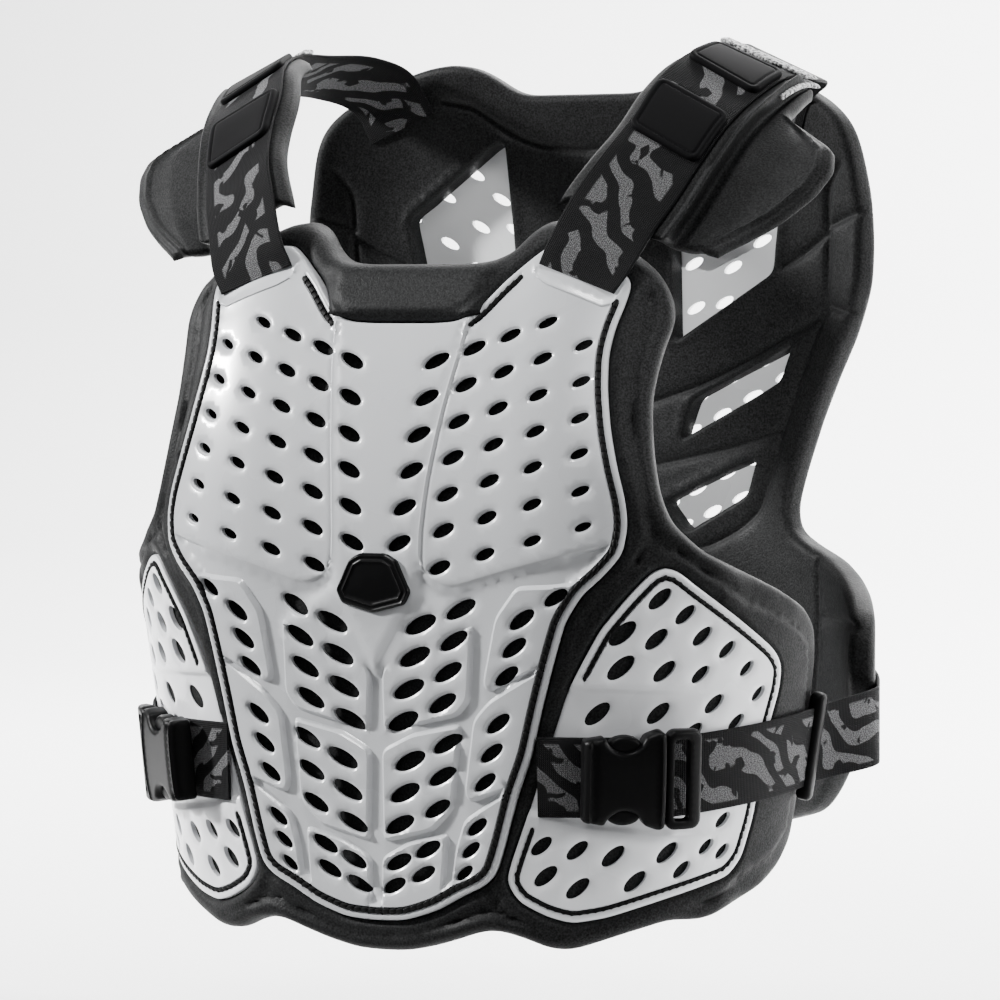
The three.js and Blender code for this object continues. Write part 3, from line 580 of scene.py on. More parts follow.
class Nodes:
    """Short forms for adding and joining shader nodes."""

    def __init__(self, material):
        self.tree = material.node_tree
        self.shader = self.tree.nodes["Principled BSDF"]

    def add(self, kind, inputs=(), **settings):
        node = self.tree.nodes.new(kind)
        for key, value in settings.items():
            setattr(node, key, value)
        for key, value in dict(inputs).items():
            if hasattr(value, "is_output"):
                self.tree.links.new(value, node.inputs[key])
            else:
                node.inputs[key].default_value = value
        return node

    def join(self, output, key):
        self.tree.links.new(output, self.shader.inputs[key])

    def place(self):
        return self.add("ShaderNodeTexCoord").outputs["Object"]

    def noise(self, place, scale, detail, distortion=0.0):
        inputs = {"Vector": place, "Scale": scale, "Detail": detail, "Distortion": distortion}
        return self.add("ShaderNodeTexNoise", inputs).outputs["Fac"]

    def wave(self, direction, inputs):
        return self.add("ShaderNodeTexWave", inputs, bands_direction=direction).outputs["Fac"]

    def ramp(self, value, low, high, first=0.0, last=1.0):
        inputs = {"Value": value, "From Min": low, "From Max": high, "To Min": first, "To Max": last}
        return self.add("ShaderNodeMapRange", inputs).outputs["Result"]

    def combine(self, operation, *values):
        return self.add("ShaderNodeMath", enumerate(values), operation=operation).outputs[0]

    def blend(self, share, first, last):
        """A colour between two. The last one may be a node's output."""
        if not hasattr(last, "is_output"):
            last = (*last, 1)
        return self.add("ShaderNodeMix", {0: share, 6: (*first, 1), 7: last}, data_type="RGBA").outputs[2]

    def bump(self, height, strength, span):
        node = self.add("ShaderNodeBump", {"Height": height, "Strength": strength, "Distance": span})
        self.join(node.outputs["Normal"], "Normal")


def foam_material():
    material = new_material("foam", (0.01, 0.0105, 0.011), 0.6, specular=0.11)
    nodes = Nodes(material)
    place = nodes.place()
    grain = nodes.noise(place, 1000, 2)
    cloud = nodes.noise(place, 60, 3)
    fibre = nodes.ramp(grain, 0.32, 0.72)
    nodes.join(nodes.blend(fibre, (0.003, 0.0031, 0.0032), (0.021, 0.0215, 0.022)), "Base Color")
    nodes.join(nodes.ramp(cloud, 0.3, 0.7, 0.48, 0.62), "Roughness")
    nodes.bump(grain, 0.4, 0.0006)
    return material


def plate_material(name, colour):
    material = new_material(name, colour, 0.28, coat=0.25)
    nodes = Nodes(material)
    cloud = nodes.noise(nodes.place(), 25, 2)
    nodes.join(nodes.ramp(cloud, 0.3, 0.7, 0.24, 0.33), "Roughness")
    return material


def webbing_material():
    material = new_material("webbing", (0.008, 0.008, 0.009), 0.7, specular=0.1)
    nodes = Nodes(material)
    place = nodes.add("ShaderNodeUVMap", uv_map="UVMap").outputs["UV"]
    inputs = {"Vector": place, "Scale": 2.6, "Distortion": 9.0, "Detail": 1.4, "Detail Scale": 1.1}
    wave = nodes.wave("DIAGONAL", inputs)
    breaks = nodes.noise(place, 8, 1, 0.8)
    weave = [nodes.wave(direction, {"Vector": place, "Scale": 32.0}) for direction in "XY"]
    speck = nodes.ramp(nodes.noise(place, 170, 1), 0.38, 0.62)
    grey = nodes.blend(speck, (0.03, 0.03, 0.031), (0.17, 0.17, 0.174))
    border = nodes.combine("ABSOLUTE", nodes.add("ShaderNodeSeparateXYZ", {0: place}).outputs[0])
    strokes = nodes.combine("MULTIPLY", nodes.ramp(wave, 0.5, 0.56), nodes.ramp(breaks, 0.4, 0.43))
    strokes = nodes.combine("MULTIPLY", strokes, nodes.ramp(border, 0.17, 0.16))
    nodes.join(nodes.blend(strokes, (0.005, 0.005, 0.0055), grey), "Base Color")
    nodes.bump(nodes.combine("ADD", *weave), 0.5, 0.0004)
    return material


def fuzz_material():
    material = new_material("fuzz", (0.2, 0.2, 0.2), 0.9, specular=0.1)
    nodes = Nodes(material)
    grain = nodes.noise(nodes.place(), 650, 3)
    fibre = nodes.ramp(grain, 0.4, 0.62)
    nodes.join(nodes.blend(fibre, (0.06, 0.06, 0.061), (0.75, 0.75, 0.75)), "Base Color")
    nodes.bump(grain, 0.8, 0.001)
    return material


FOAM = foam_material()
# The plates are one white plastic; their three colours are painted light and shade: the chest plate darker, the
# flank plates lighter and the back plate lightest, standing in for how light falls on each
PLATE = plate_material("plate", (0.52, 0.53, 0.545))
BACK_PLATE = plate_material("back_plate", (0.88, 0.89, 0.9))
FLANK_PLATE = plate_material("flank_plate", (0.84, 0.85, 0.87))
WEBBING = webbing_material()
FUZZ = fuzz_material()
THREAD = new_material("thread", (0.002, 0.002, 0.0022), 0.6, specular=0.12)
# Near-black painted shade for the stitching groove of the white plates
GROOVE_SHADE = new_material("groove", (0.003, 0.003, 0.0033), 0.7, specular=0.1)
BADGE = new_material("badge", (0.002, 0.002, 0.0022), 0.3, specular=0.16)
TAB = new_material("tab", (0.004, 0.004, 0.0044), 0.62, specular=0.04)
BUCKLE = new_material("buckle", (0.002, 0.002, 0.0022), 0.42, specular=0.09)
PATCH = new_material("patch", (0.005, 0.005, 0.006), 0.8, specular=0.2)

# Outlines at full length
chest_loop = rounded(both_halves(half_loop(CHEST_EDGE, FRONT_REACH, FRONT_DROP)), 2.0, 6)
foam_loop = rounded(both_halves(half_loop(FOAM_EDGE, FRONT_REACH, FRONT_DROP)), 2.5, 6)
flank_loop = rounded(half_loop(FLANK_EDGE, FRONT_REACH, FRONT_DROP), 2.0, 5)
back_loop = rounded(both_halves(half_loop(BACK_EDGE, BACK_REACH, BACK_DROP)), 2.5, 8)
back_plate_loop = rounded(both_halves(half_loop(BACK_PLATE_EDGE, BACK_REACH, BACK_DROP)), 3.0, 12)
window_loops = []
for window in BACK_WINDOWS:
    half_window = rounded(half_loop(window, BACK_REACH, BACK_DROP), 1.8, 5)
    window_loops += mirrored(half_window)


# Stitches along a path on a face
STITCH_PITCH = 4.0
STITCH_LENGTH = 4.3
STITCH_SIDES = 6
STITCH_TURN = math.radians(10)
# Share of the length, and of the radius
STITCH_PROFILE = [(-0.5, 0.45), (-0.32, 1.0), (0.32, 1.0), (0.5, 0.45)]


def stitches(name, path, lift, place, radius, side):
    points = resampled(path, STITCH_PITCH, False)
    following = np.concatenate([points[1:], 2 * points[-1:] - points[-2:-1]])
    level = lift + 0 * points[:, 0]
    centre = place(*points.T, level)
    ahead = place(*following.T, level) - centre
    ahead /= np.maximum(np.linalg.norm(ahead, axis=1, keepdims=True), 1e-9)
    out = place(*points.T, level + 1.0) - centre
    out /= np.linalg.norm(out, axis=1, keepdims=True)
    over = np.cross(out, ahead)
    slanted = ahead * math.cos(STITCH_TURN) + over * math.sin(STITCH_TURN)
    beside = over * math.cos(STITCH_TURN) - ahead * math.sin(STITCH_TURN)
    vertices = []
    for share, width in STITCH_PROFILE:
        for k in range(STITCH_SIDES):
            angle = 2 * math.pi * k / STITCH_SIDES
            offset = beside * (math.cos(angle) * radius * 1.25 * width)
            offset = offset + out * (math.sin(angle) * radius * width)
            vertices.append(centre + slanted * (share * STITCH_LENGTH) + offset)
    vertices = np.stack(vertices, axis=1)
    last = (len(STITCH_PROFILE) - 1) * STITCH_SIDES
    faces = []
    for row in range(0, last, STITCH_SIDES):
        for k in range(STITCH_SIDES):
            a = row + k
            b = row + (k + 1) % STITCH_SIDES
            faces += [(a, b, b + STITCH_SIDES), (a, b + STITCH_SIDES, a + STITCH_SIDES)]
    for k in range(1, STITCH_SIDES - 1):
        faces += [(0, k + 1, k), (last, last + k, last + k + 1)]
    count = last + STITCH_SIDES
    triangles = np.concatenate([np.array(faces) + count * k for k in range(len(points))])
    settle(make_piece(name, vertices.reshape(-1, 3) * (side, 1, 1), triangles, [THREAD]), "webbing")


def runs(loop, allowed):
    """The stretches of a loop where it is allowed, each as an open path."""
    marks = allowed(loop)
    if marks.all():
        return [np.concatenate([loop, loop[:1]])]
    start = int(np.nonzero(~marks)[0][0])
    found = [[]]
    for point, mark in zip(np.roll(loop, -start, 0), np.roll(marks, -start)):
        if mark:
            found[-1].append(point)
        elif found[-1]:
            found.append([])
    return [np.array(run) for run in found if len(run) > 6]


def stitch_border(name, loop, groove, allowed, lift, place, radius, side=1):
    path = resampled(inset(turned_left(loop), sum(groove) / 2), 1.0)
    for number, run in enumerate(runs(path, allowed)):
        stitches(f"{name}_{number}", run, lift, place, radius, side)


# Chest plate
EDGE_RADIUS = 1.2
CHEST_GROOVE = (3.2, 6.2)
FLANK_GROOVE = (3.6, 5.8)
GROOVE_DEPTH = 1.0
EDGE_RINGS = (0.35, 1.2, 2.2)
BAND_HEIGHT = 4.0
SIDE_HEIGHT = 2.4
PANEL_HEIGHT = 2.7
PANEL_SLOPE = 2.1


def chest_holes():
    found = []
    for first, last, count, first_length, last_length, slim, tilt in VENT_RUNS:
        for k in range(count):
            share = k / (count - 1) if count > 1 else 0
            across = (first[0] + (last[0] - first[0]) * share) * FRONT_REACH
            z = -(first[1] + (last[1] - first[1]) * share) * FRONT_DROP
            length = first_length + (last_length - first_length) * share
            for side in (1, -1):
                found.append(oval((side * across, z), length, length * slim, side * tilt))
    return found


side_panel = rounded(above_badge(SIDE_PANEL), 2.0, 3)
lower_panels = [rounded(above_badge(panel), 1.6, 5) for panel in LOWER_PANELS]
centre_band = rounded(both_halves(above_badge(CENTRE_BAND)), 2.0, 2)
below_badge = rounded(both_halves(above_badge(BELOW_BADGE)), 2.0, 3)


def chest_relief(points):
    """Height of the chest plate's relief above the foot of its raised areas."""
    right = right_half(points)
    height = SIDE_HEIGHT * smooth_step(depth_inside(right, side_panel) / PANEL_SLOPE)
    height = np.maximum(height, BAND_HEIGHT * smooth_step(depth_inside(points, centre_band) / 9 + 0.5))
    height = np.maximum(height, PANEL_HEIGHT * smooth_step(depth_inside(points, below_badge) / 12))
    border = 1 - smooth_step((depth_inside(points, chest_loop) - 6.8) / 3)
    height = np.maximum(height, PANEL_HEIGHT * border)
    for panel in lower_panels:
        height = np.maximum(height, PANEL_HEIGHT * smooth_step(depth_inside(right, panel) / PANEL_SLOPE))
    ridge = above_badge(SIDE_PANEL[:11])
    height = height + 1.5 * bell(distance(right, ridge, closed=False), 1.2)
    rest = above_badge(STRAP_REST)
    return height + 1.0 * bell(distance(right, rest, closed=False), 0.8)


def groove_rings(groove):
    return (*EDGE_RINGS, groove[0], groove[0] + 0.5, groove[1] - 0.5, groove[1], groove[1] + 0.5)


# Triangles in the stitching groove, which get the painted shade
def groove_shade_marks(sheet, path, allowed, groove):
    middle = sheet.points[sheet.triangles].mean(axis=1)
    gap = distance(middle, path)
    return (gap > groove[0]) & (gap < groove[1]) & allowed(middle)


def groove_depth(edge, allowed, groove):
    reach = (groove[1] - groove[0]) / 2 + 0.4
    return GROOVE_DEPTH * smooth_step((reach - np.abs(edge - sum(groove) / 2)) / 0.6) * allowed


def plate_top(sheet, face, allowed, groove, bevel, reach):
    """Height of a plate over its face's height, with round edges, a stitching groove and bevelled vents."""
    top = face - edge_drop(sheet.edge, EDGE_RADIUS) - groove_depth(sheet.edge, allowed(sheet.points), groove)
    return top - bevel * bell(sheet.hole, reach)


def chest_stitched(points):
    """Where the chest plate has its border stitching: not along the neckline, nor under the straps."""
    run = np.abs(points[:, 0])
    height = points[:, 1] + LEAN_DROP
    neckline = (run < 40) & (height > 95)
    under_strap = (run > 62) & (height > 141)
    return ~neckline & ~under_strap


chest_vents = chest_holes()
feature_lines = []
for offset in (-1.2, -0.4, 0.4, 1.2):
    feature_lines += mirrored(resampled(above_badge(STRAP_REST) + (0, offset), 1.2, False))
for panel in [*lower_panels, side_panel]:
    for offset in (0.0, 0.7, 1.4, 2.2):
        feature_lines += mirrored(inset(turned_left(panel), offset))
for offset in (-4.0, -1.3, 1.3, 4.0):
    feature_lines.append(inset(turned_left(centre_band), offset))
chest_sheet = Sheet(chest_loop, chest_vents, groove_rings(CHEST_GROOVE), (0.4, 0.9, 1.5), feature_lines, 2.8)
relief = chest_relief(chest_sheet.points)
chest_top = plate_top(chest_sheet, relief, chest_stitched, CHEST_GROOVE, 0.9, 0.9)
chest_low = relief * 0.8 * smooth_step((chest_sheet.edge - 2) / 4) - PLATE_WALL
# The chest plate's stitching groove takes the painted shade
chest_groove_shade = groove_shade_marks(chest_sheet, chest_loop, chest_stitched, CHEST_GROOVE)
dress("chest_plate", "plate", chest_sheet, front_point, chest_top, chest_low, [PLATE, GROOVE_SHADE],
      marks=chest_groove_shade)


def relief_point(across, z, lift):
    return front_point(across, z, lift + chest_relief(np.stack([across, z], axis=1)))


stitch_border("chest_stitches", chest_loop, CHEST_GROOVE, chest_stitched, -0.15, relief_point, 1.15)

# Badge
BADGE_SIZE = (42, 30)
badge_corners = [(0.5, -0.11), (0.42, -0.33), (0.0, -0.48), (-0.42, -0.33), (-0.5, -0.11), (-0.32, 0.41),
                 (-0.17, 0.52), (0.17, 0.52), (0.32, 0.41)]
badge_loop = rounded(np.array(badge_corners) * BADGE_SIZE, 0.7, 5)
badge_sheet = Sheet(badge_loop, rings=(0.3, 0.8, 1.2, 1.7, 2.4, 3.3, 3.6, 3.9, 4.2, 4.5), spacing=1.2)
badge_height = (
    2.2
    - edge_drop(badge_sheet.edge, 0.9)
    + 0.5 * bell(badge_sheet.edge - 1.2, 0.5)
    + 0.5 * bell(badge_sheet.edge - 3.9, 0.4)
    + 0.5 * np.clip(badge_sheet.edge / 12, 0, 1)
)


def badge_point(x, z, lift):
    base = CHEST_DEPTH + BAND_HEIGHT - 0.4
    return np.stack([x, -base - lift, z - LEAN_DROP], axis=-1)


dress("badge", "badge", badge_sheet, badge_point, badge_height, 0 * badge_height, [BADGE], sharp=60)

# Flank plates
flank_vents = [
    oval((across, height - LEAN_DROP), length, width, FLANK_TILT)
    for across, height, length, width in FLANK_VENTS
]
channel_top = above_badge([(60, -48), (105, -48), (133, -49), (176, -51), (240, -54)])
channel_foot = above_badge([(40, -106), (81, -112), (104, -119), (146, -124), (240, -128)])


def flank_channel(points):
    """Depth of the channel that the waist webbing lies in."""
    across, z = points.T
    top = np.interp(across, *channel_top.T)
    foot = np.interp(across, *channel_foot.T)
    reach = 1 - smooth_step((across - 135) / 60)
    return 2.1 * smooth_step((top - z) / 3.5) * smooth_step((z - foot) / 4) * reach


def flank_stitched(points):
    across, z = points.T
    height = z + LEAN_DROP
    return ~((height < -44) & (height > -120) & (across < 118))


channel_lines = [resampled(channel_top - (0, k), 2.0, False) for k in (0, 1.2, 2.4, 3.6)]
channel_lines += [resampled(channel_foot + (0, k), 2.0, False) for k in (0, 1.3, 2.6, 4)]
flank_sheet = Sheet(flank_loop, flank_vents, groove_rings(FLANK_GROOVE), (0.5, 1.3), channel_lines, 3.0)
flank_face = -flank_channel(flank_sheet.points)
flank_top = plate_top(flank_sheet, flank_face, flank_stitched, FLANK_GROOVE, 0.6, 1.0)
flank_low = flank_top * 0 - 3.2
# The flank plates' stitching groove takes the painted shade
flank_groove_shade = groove_shade_marks(flank_sheet, flank_loop, flank_stitched, FLANK_GROOVE)


def flank_point(across, z, lift):
    return front_point(across, z, lift - flank_channel(np.stack([across, z], axis=1)))


for side, hand in SIDES:
    dress(f"flank_plate_{hand}", "plate", flank_sheet, front_point, flank_top, flank_low,
          [FLANK_PLATE, GROOVE_SHADE], marks=flank_groove_shade, side=side)
    name = f"flank_stitches_{hand}"
    stitch_border(name, flank_loop, FLANK_GROOVE, flank_stitched, -0.3, flank_point, 0.85, side)

# Front foam
FOAM_ROUND = 5
COLLAR_RISE = 10
RIM_OFFSETS = (0.3, 1.5, 3.0, 5.0, 7.0)
plate_rims = [inset(turned_left(chest_loop), -k) for k in RIM_OFFSETS]
for k in RIM_OFFSETS:
    plate_rims += mirrored(inset(turned_left(flank_loop), -k))
foam_sheet = Sheet(foam_loop, (), (0.3, 1.0, 2.0, 3.3, 5.0, 7.0, 9.0, 11.0), (), plate_rims, 2.8)
foam_points = foam_sheet.points
foam_right = right_half(foam_points)
to_chest = np.maximum(-depth_inside(foam_points, chest_loop), 0)
to_flank = np.maximum(-depth_inside(foam_right, flank_loop), 0)
to_plate = np.minimum(to_chest, to_flank)
foam_edge = foam_sheet.edge


def rolls_across(share, width):
    """One roll across a narrow strip of foam, and two with a crease between them across a wide one."""
    single = np.abs(np.sin(math.pi * share)) ** 0.5
    double = np.abs(np.sin(2 * math.pi * share)) ** 0.5
    wide = smooth_step((width - 14) / 4)
    return single * (1 - wide) + double * wide


rim_rolls = rolls_across(foam_edge / (foam_edge + to_plate + 1e-6), foam_edge + to_plate)
between_rolls = rolls_across(to_chest / (to_chest + to_flank + 1e-6), to_chest + to_flank)
in_between = smooth_step((foam_edge - 12) / 6) * (to_chest + to_flank < 60)
under_webbing = np.abs(foam_points[:, 1] - WAIST_Z) < WAIST_WEBBING / 2 + 4
roll_height = np.where(under_webbing, 3.3, 4.3)
rolls = roll_height * (between_rolls * in_between + rim_rolls * (1 - in_between)) * smooth_step(to_plate / 1.5)
foam_height = foam_points[:, 1] + LEAN_DROP
collar = smooth_step((52 - foam_right[:, 0]) / 14) * smooth_step((foam_height - 129) / 8)
step_reach = smooth_step((foam_right[:, 0] - 180) / 25)
steps = 3.0 * smooth_step((foam_edge - 14) / 1.4) * smooth_step(to_plate / 1.2) * step_reach
foam_top = FOAM_TOP + rolls * (1 - collar) * (1 - step_reach) + COLLAR_RISE * collar + steps
foam_top = foam_top - 1.4 * bell(to_chest - 5, 1.1) * collar
foam_top = foam_top - edge_drop(foam_edge, FOAM_ROUND)
foam_low = FOAM_TOP - FOAM_WALL + edge_drop(foam_edge, FOAM_ROUND)
foam_low = np.minimum(foam_low, foam_top - 1.5)
dress("front_foam", "foam", foam_sheet, front_point, foam_top, foam_low, [FOAM], padded=True, sharp=70)

# Back pad
groove_paths = [rounded(above_badge(line), 3.0, 3, False) for line in BACK_GROOVES]
groove_lines = []
for path in groove_paths:
    along = np.gradient(path, axis=0)
    aside = np.stack([-along[:, 1], along[:, 0]], axis=1) / np.linalg.norm(along, axis=1, keepdims=True)
    for offset in (0.0, 1.2, -1.2, 2.6, -2.6, 4.2, -4.2):
        groove_lines += mirrored(resampled(path + offset * aside, 1.8, False))
back_sheet = Sheet(back_loop, window_loops, (0.3, 1.0, 2.0, 3.3, 5.0, 7.0), (0.5, 1.4, 2.6), groove_lines, 3.2)
back_right = right_half(back_sheet.points)
groove_gap = np.full(len(back_right), 99.0)
for path in groove_paths:
    groove_gap = np.minimum(groove_gap, distance(back_right, path, closed=False))
pads = 2.4 * smooth_step(groove_gap / 4.2) ** 0.7 + 0.8 * smooth_step(groove_gap / 16)
window_lip = 1.2 * bell(back_sheet.hole - 2.5, 1.6)
inner_face = 1.0 - pads - window_lip + edge_drop(back_sheet.edge, FOAM_ROUND) + edge_drop(back_sheet.hole, 2.0)
outer_face = BACK_FOAM_WALL - edge_drop(back_sheet.edge, FOAM_ROUND)
outer_face = np.maximum(outer_face, inner_face + 1.5)
dress("back_foam", "foam", back_sheet, back_point, outer_face, inner_face, [FOAM], padded=True, sharp=70)

# Back plate, pierced where it shows through the windows
back_slots = []
for across, height in BACK_SLOTS:
    for side in (1, -1):
        back_slots.append(oval((side * across, height - LEAN_DROP), *BACK_SLOT_SIZE, side * BACK_SLOT_TILT, 14))
back_plate_sheet = Sheet(back_plate_loop, back_slots, (0.4, 1.2, 3.0), (0.6,), (), 5.0)
back_plate_top = BACK_PLATE_LOW + BACK_PLATE_WALL - edge_drop(back_plate_sheet.edge, EDGE_RADIUS)
back_plate_low = back_plate_top * 0 + BACK_PLATE_LOW
dress("back_plate", "plate", back_plate_sheet, back_point, back_plate_top, back_plate_low, [BACK_PLATE])

# Patch on the spine
PATCH_SIZE = (36, 14)
PATCH_Z = -64
patch_corners = np.array([(0.5, 0.5), (-0.5, 0.5), (-0.5, -0.5), (0.5, -0.5)]) * PATCH_SIZE
patch_sheet = Sheet(rounded(patch_corners + (0, PATCH_Z), 1.0, 2), (), (0.4, 1.0), (), (), 3.0)
patch_top = -2.9 + edge_drop(patch_sheet.edge, 0.5)
dress("back_patch", "patch", patch_sheet, back_point, patch_top, patch_top * 0 - 1.6, [PATCH])


# Shoulder straps
def curve_points(points, rows):
    """Places on a centripetal Catmull-Rom curve through the points."""
    points = np.asarray(points, dtype=float)
    padded = np.concatenate([[2 * points[0] - points[1]], points, [2 * points[-1] - points[-2]]])
    rows = np.asarray(rows, dtype=float)
    first = np.clip(np.floor(rows).astype(int), 0, len(points) - 2)
    share = (rows - first)[:, None]
    p0, p1, p2, p3 = (padded[first + k] for k in range(4))
    d0, d1, d2 = (np.sqrt(np.linalg.norm(b - a, axis=1))[:, None] for a, b in ((p0, p1), (p1, p2), (p2, p3)))
    t1 = ((p1 - p0) / d0 - (p2 - p0) / (d0 + d1) + (p2 - p1) / d1) * d1
    t2 = ((p2 - p1) / d1 - (p3 - p1) / (d1 + d2) + (p3 - p2) / d2) * d1
    return (
        p1
        + t1 * share
        + (-3 * p1 + 3 * p2 - 2 * t1 - t2) * share**2
        + (2 * p1 - 2 * p2 + t1 + t2) * share**3
    )


def strap_edge(which):
    foot_across, foot_drop = STRAP_FOOT[which]
    head_across, head_drop = STRAP_HEAD[which]
    foot = front_point(np.array(foot_across * FRONT_REACH), np.array(-foot_drop * FRONT_DROP), 3.7)
    head = back_point(np.array(head_across * BACK_REACH), np.array(-head_drop * BACK_DROP), -2.1)
    top = np.array([SHOULDER_HALF, 0.0, STRAP_TOP])
    top += which * np.array([STRAP_WIDTH, STRAP_FORWARD, -STRAP_SLOPE])
    points = [foot + (top - foot) * row[which] for row in STRAP_CLIMB]
    return points + [top + (head - top) * row[which] for row in STRAP_FALL]


INNER_EDGE = strap_edge(0)
OUTER_EDGE = strap_edge(1)


def strap_point(rows, shares):
    rows = np.asarray(rows, dtype=float)
    shape = rows.shape
    flat = rows.reshape(-1)
    share = np.broadcast_to(shares, shape).reshape(-1, 1)
    inner = curve_points(INNER_EDGE, flat)
    outer = curve_points(OUTER_EDGE, flat)
    return (inner + (outer - inner) * share).reshape(*shape, 3)


def strap_normal(rows, shares):
    up = strap_point(np.clip(rows + 0.05, 0, STRAP_ROWS), shares)
    up = up - strap_point(np.clip(rows - 0.05, 0, STRAP_ROWS), shares)
    over = strap_point(rows, shares + 0.05) - strap_point(rows, shares - 0.05)
    normal = np.cross(over, up)
    return normal / np.linalg.norm(normal, axis=-1, keepdims=True)


def grid_normals(grid):
    up = np.gradient(grid, axis=0)
    over = np.gradient(grid, axis=1)
    normal = np.cross(over, up)
    return normal / np.maximum(np.linalg.norm(normal, axis=-1, keepdims=True), 1e-9)


def grid_lengths(grid):
    """Distance along the rows and across the columns of a grid, in millimetres."""
    up = np.linalg.norm(np.diff(grid, axis=0), axis=2)
    over = np.linalg.norm(np.diff(grid, axis=1), axis=2)
    along = np.concatenate([np.zeros((1, grid.shape[1])), np.cumsum(up, axis=0)])
    across = np.concatenate([np.zeros((grid.shape[0], 1)), np.cumsum(over, axis=1)], axis=1)
    return along, across


def webbing(node, grid, side, facing=1, seed=0):
    along, across = grid_lengths(grid)
    width = across[:, -1:]
    half = WEBBING_WALL / 2 - edge_drop(np.minimum(across, width - across), 0.8) * 0.8
    offset = grid_normals(grid) * facing * half[..., None]
    uv = np.stack([across - width / 2, along + seed], axis=-1).reshape(-1, 2)
    piece = grid_shell(node + "_look", grid + offset, grid - offset, [WEBBING], side, 60, uv)
    settle(piece, "webbing", node)


COLUMNS = np.array([0, 0.008, 0.02, 0.15, 0.3, 0.45, 0.6, 0.75, 0.9, 0.98, 0.992, 1.0])


def shoulder_strap(side, hand):
    rows = np.linspace(0, STRAP_ROWS, 120)
    grid = strap_point(rows[:, None] + 0 * COLUMNS, COLUMNS)
    webbing(f"shoulder_strap_{hand}", grid, side, seed=60 * side)


def shoulder_pad(side, hand):
    rows = np.linspace(*PAD_ROWS, 110)
    inner = strap_point(rows, 0.0)
    outer = strap_point(rows, 1.0)
    over = outer - inner
    over /= np.linalg.norm(over, axis=1, keepdims=True)
    table = np.array(CAP_EDGE)
    out, back, drop = (np.interp(rows, table[:, 0], table[:, k]) * CAP_REACH for k in (1, 2, 3))
    bead = outer + over * BEAD_WIDTH + (0, BEAD_SETBACK, 0)
    edge = bead + np.stack([out, back, -drop], axis=1)
    for _ in range(6):
        edge[1:-1] = 0.5 * edge[1:-1] + 0.25 * (edge[2:] + edge[:-2])
    controls = np.stack(
        [
            inner - over * PAD_OVERHANG - (0, 0, PAD_FOLD),
            inner,
            (inner + outer) / 2,
            outer,
            outer + (bead - outer) * 0.3,
            bead,
            (bead + edge) / 2,
            edge,
        ],
        axis=1,
    )
    places = np.concatenate([np.linspace(0, 3, 16), np.linspace(3, 5, 16)[1:], np.linspace(5, 7, 30)[1:]])
    grid = np.stack([curve_points(line, places) for line in controls])
    normal = grid_normals(grid)
    lengths, across = grid_lengths(grid)
    base = np.interp(places, range(8), [-3.3, -1.3, -1.3, -1.3, 2.4, -0.9, -0.9, -3.0])
    bump = 2.8 * bell(places - 4.1, 0.42) - 1.6 * bell(places - 4.95, 0.28)
    from_edge = across[:, -1:] - across
    cap = smooth_step((from_edge[:, 35:36] - 8) / 8)
    rib = 1.8 * bell(from_edge - 8, 1.5) * (places > 5.2) * cap
    to_end = np.minimum(np.minimum(lengths, lengths[-1:] - lengths), np.minimum(across, from_edge))
    round_off = edge_drop(to_end, 3.0)
    top = base + bump + rib - round_off
    wall = np.interp(places, range(8), [6, 8, 8, 8, 9, 8, 6.5, 4])
    low = base - wall + round_off
    low = np.minimum(low, top - 1.0)
    upper = grid + normal * top[..., None]
    lower = grid + normal * low[..., None]
    piece = grid_shell(f"shoulder_pad_{hand}_look", upper, lower, [FOAM], side, 70)
    settle(piece, "foam", f"shoulder_pad_{hand}", padded=True)


def rounded_box(width, length, radius):
    """A rectangle with round corners about the origin, as a loop."""
    corners = []
    for x, y, start in ((1, 1, 0), (-1, 1, 90), (-1, -1, 180), (1, -1, 270)):
        for k in range(7):
            angle = math.radians(start + 15 * k)
            across = x * (width / 2 - radius) + radius * math.cos(angle)
            along = y * (length / 2 - radius) + radius * math.sin(angle)
            corners.append((across, along))
    return resampled(np.array(corners), 1.0)


def strap_tab(side, name, start_row, length):
    width = TAB_WIDTH
    sheet = Sheet(rounded_box(width, length, 5), (), (0.4, 1.0, 1.8, 2.6, 3.0, 3.4, 3.9, 4.4), (), (), 2.2)
    ends = strap_point(np.array([start_row, start_row + 1]), 0.5)
    row_length = np.linalg.norm(ends[1] - ends[0])
    middle_row = start_row + length / row_length / 2

    def place(x, y, lift):
        rows = middle_row + y / row_length
        shares = 0.5 + x / STRAP_WIDTH
        return strap_point(rows, shares) + strap_normal(rows, shares) * np.asarray(lift)[..., None]

    groove = 0.7 * bell(sheet.edge - 3.2, 0.45)
    top = WEBBING_WALL / 2 + 3.0 - edge_drop(sheet.edge, 1.6) - groove
    dress(name, "tab", sheet, place, top, top * 0 + WEBBING_WALL / 2 + 0.1, [TAB], side=side, sharp=50)


# Frayed strips of the shoulder strap: first and last row, first and last share across, and lift
FUZZ_STRIPS = [(7.2, 7.5, -0.02, 1.14, 1.7), (6.4, 7.5, 1.03, 1.2, -1.7)]


def strap_fuzz(side, hand):
    """The frayed hook-and-loop edges behind the rear tab and beside it."""
    for number, (first, last, start, stop, lift) in enumerate(FUZZ_STRIPS):
        rows = np.linspace(first, last, 30)
        shares = np.linspace(start, stop, 24)
        grid = strap_point(rows[:, None] + 0 * shares, shares)
        normal = grid_normals(grid)
        along, across = grid_lengths(grid)
        edge = np.minimum(np.minimum(along, along[-1:] - along), across[:, -1:] - across)
        half = np.maximum(1.1 - edge_drop(edge, 1.0), 0.1)[..., None]
        middle = grid + normal * lift
        offset = normal * half
        piece = grid_shell(f"strap_fuzz_{hand}_{number}", middle + offset, middle - offset, [FUZZ], side, 70)
        settle(piece, "webbing")


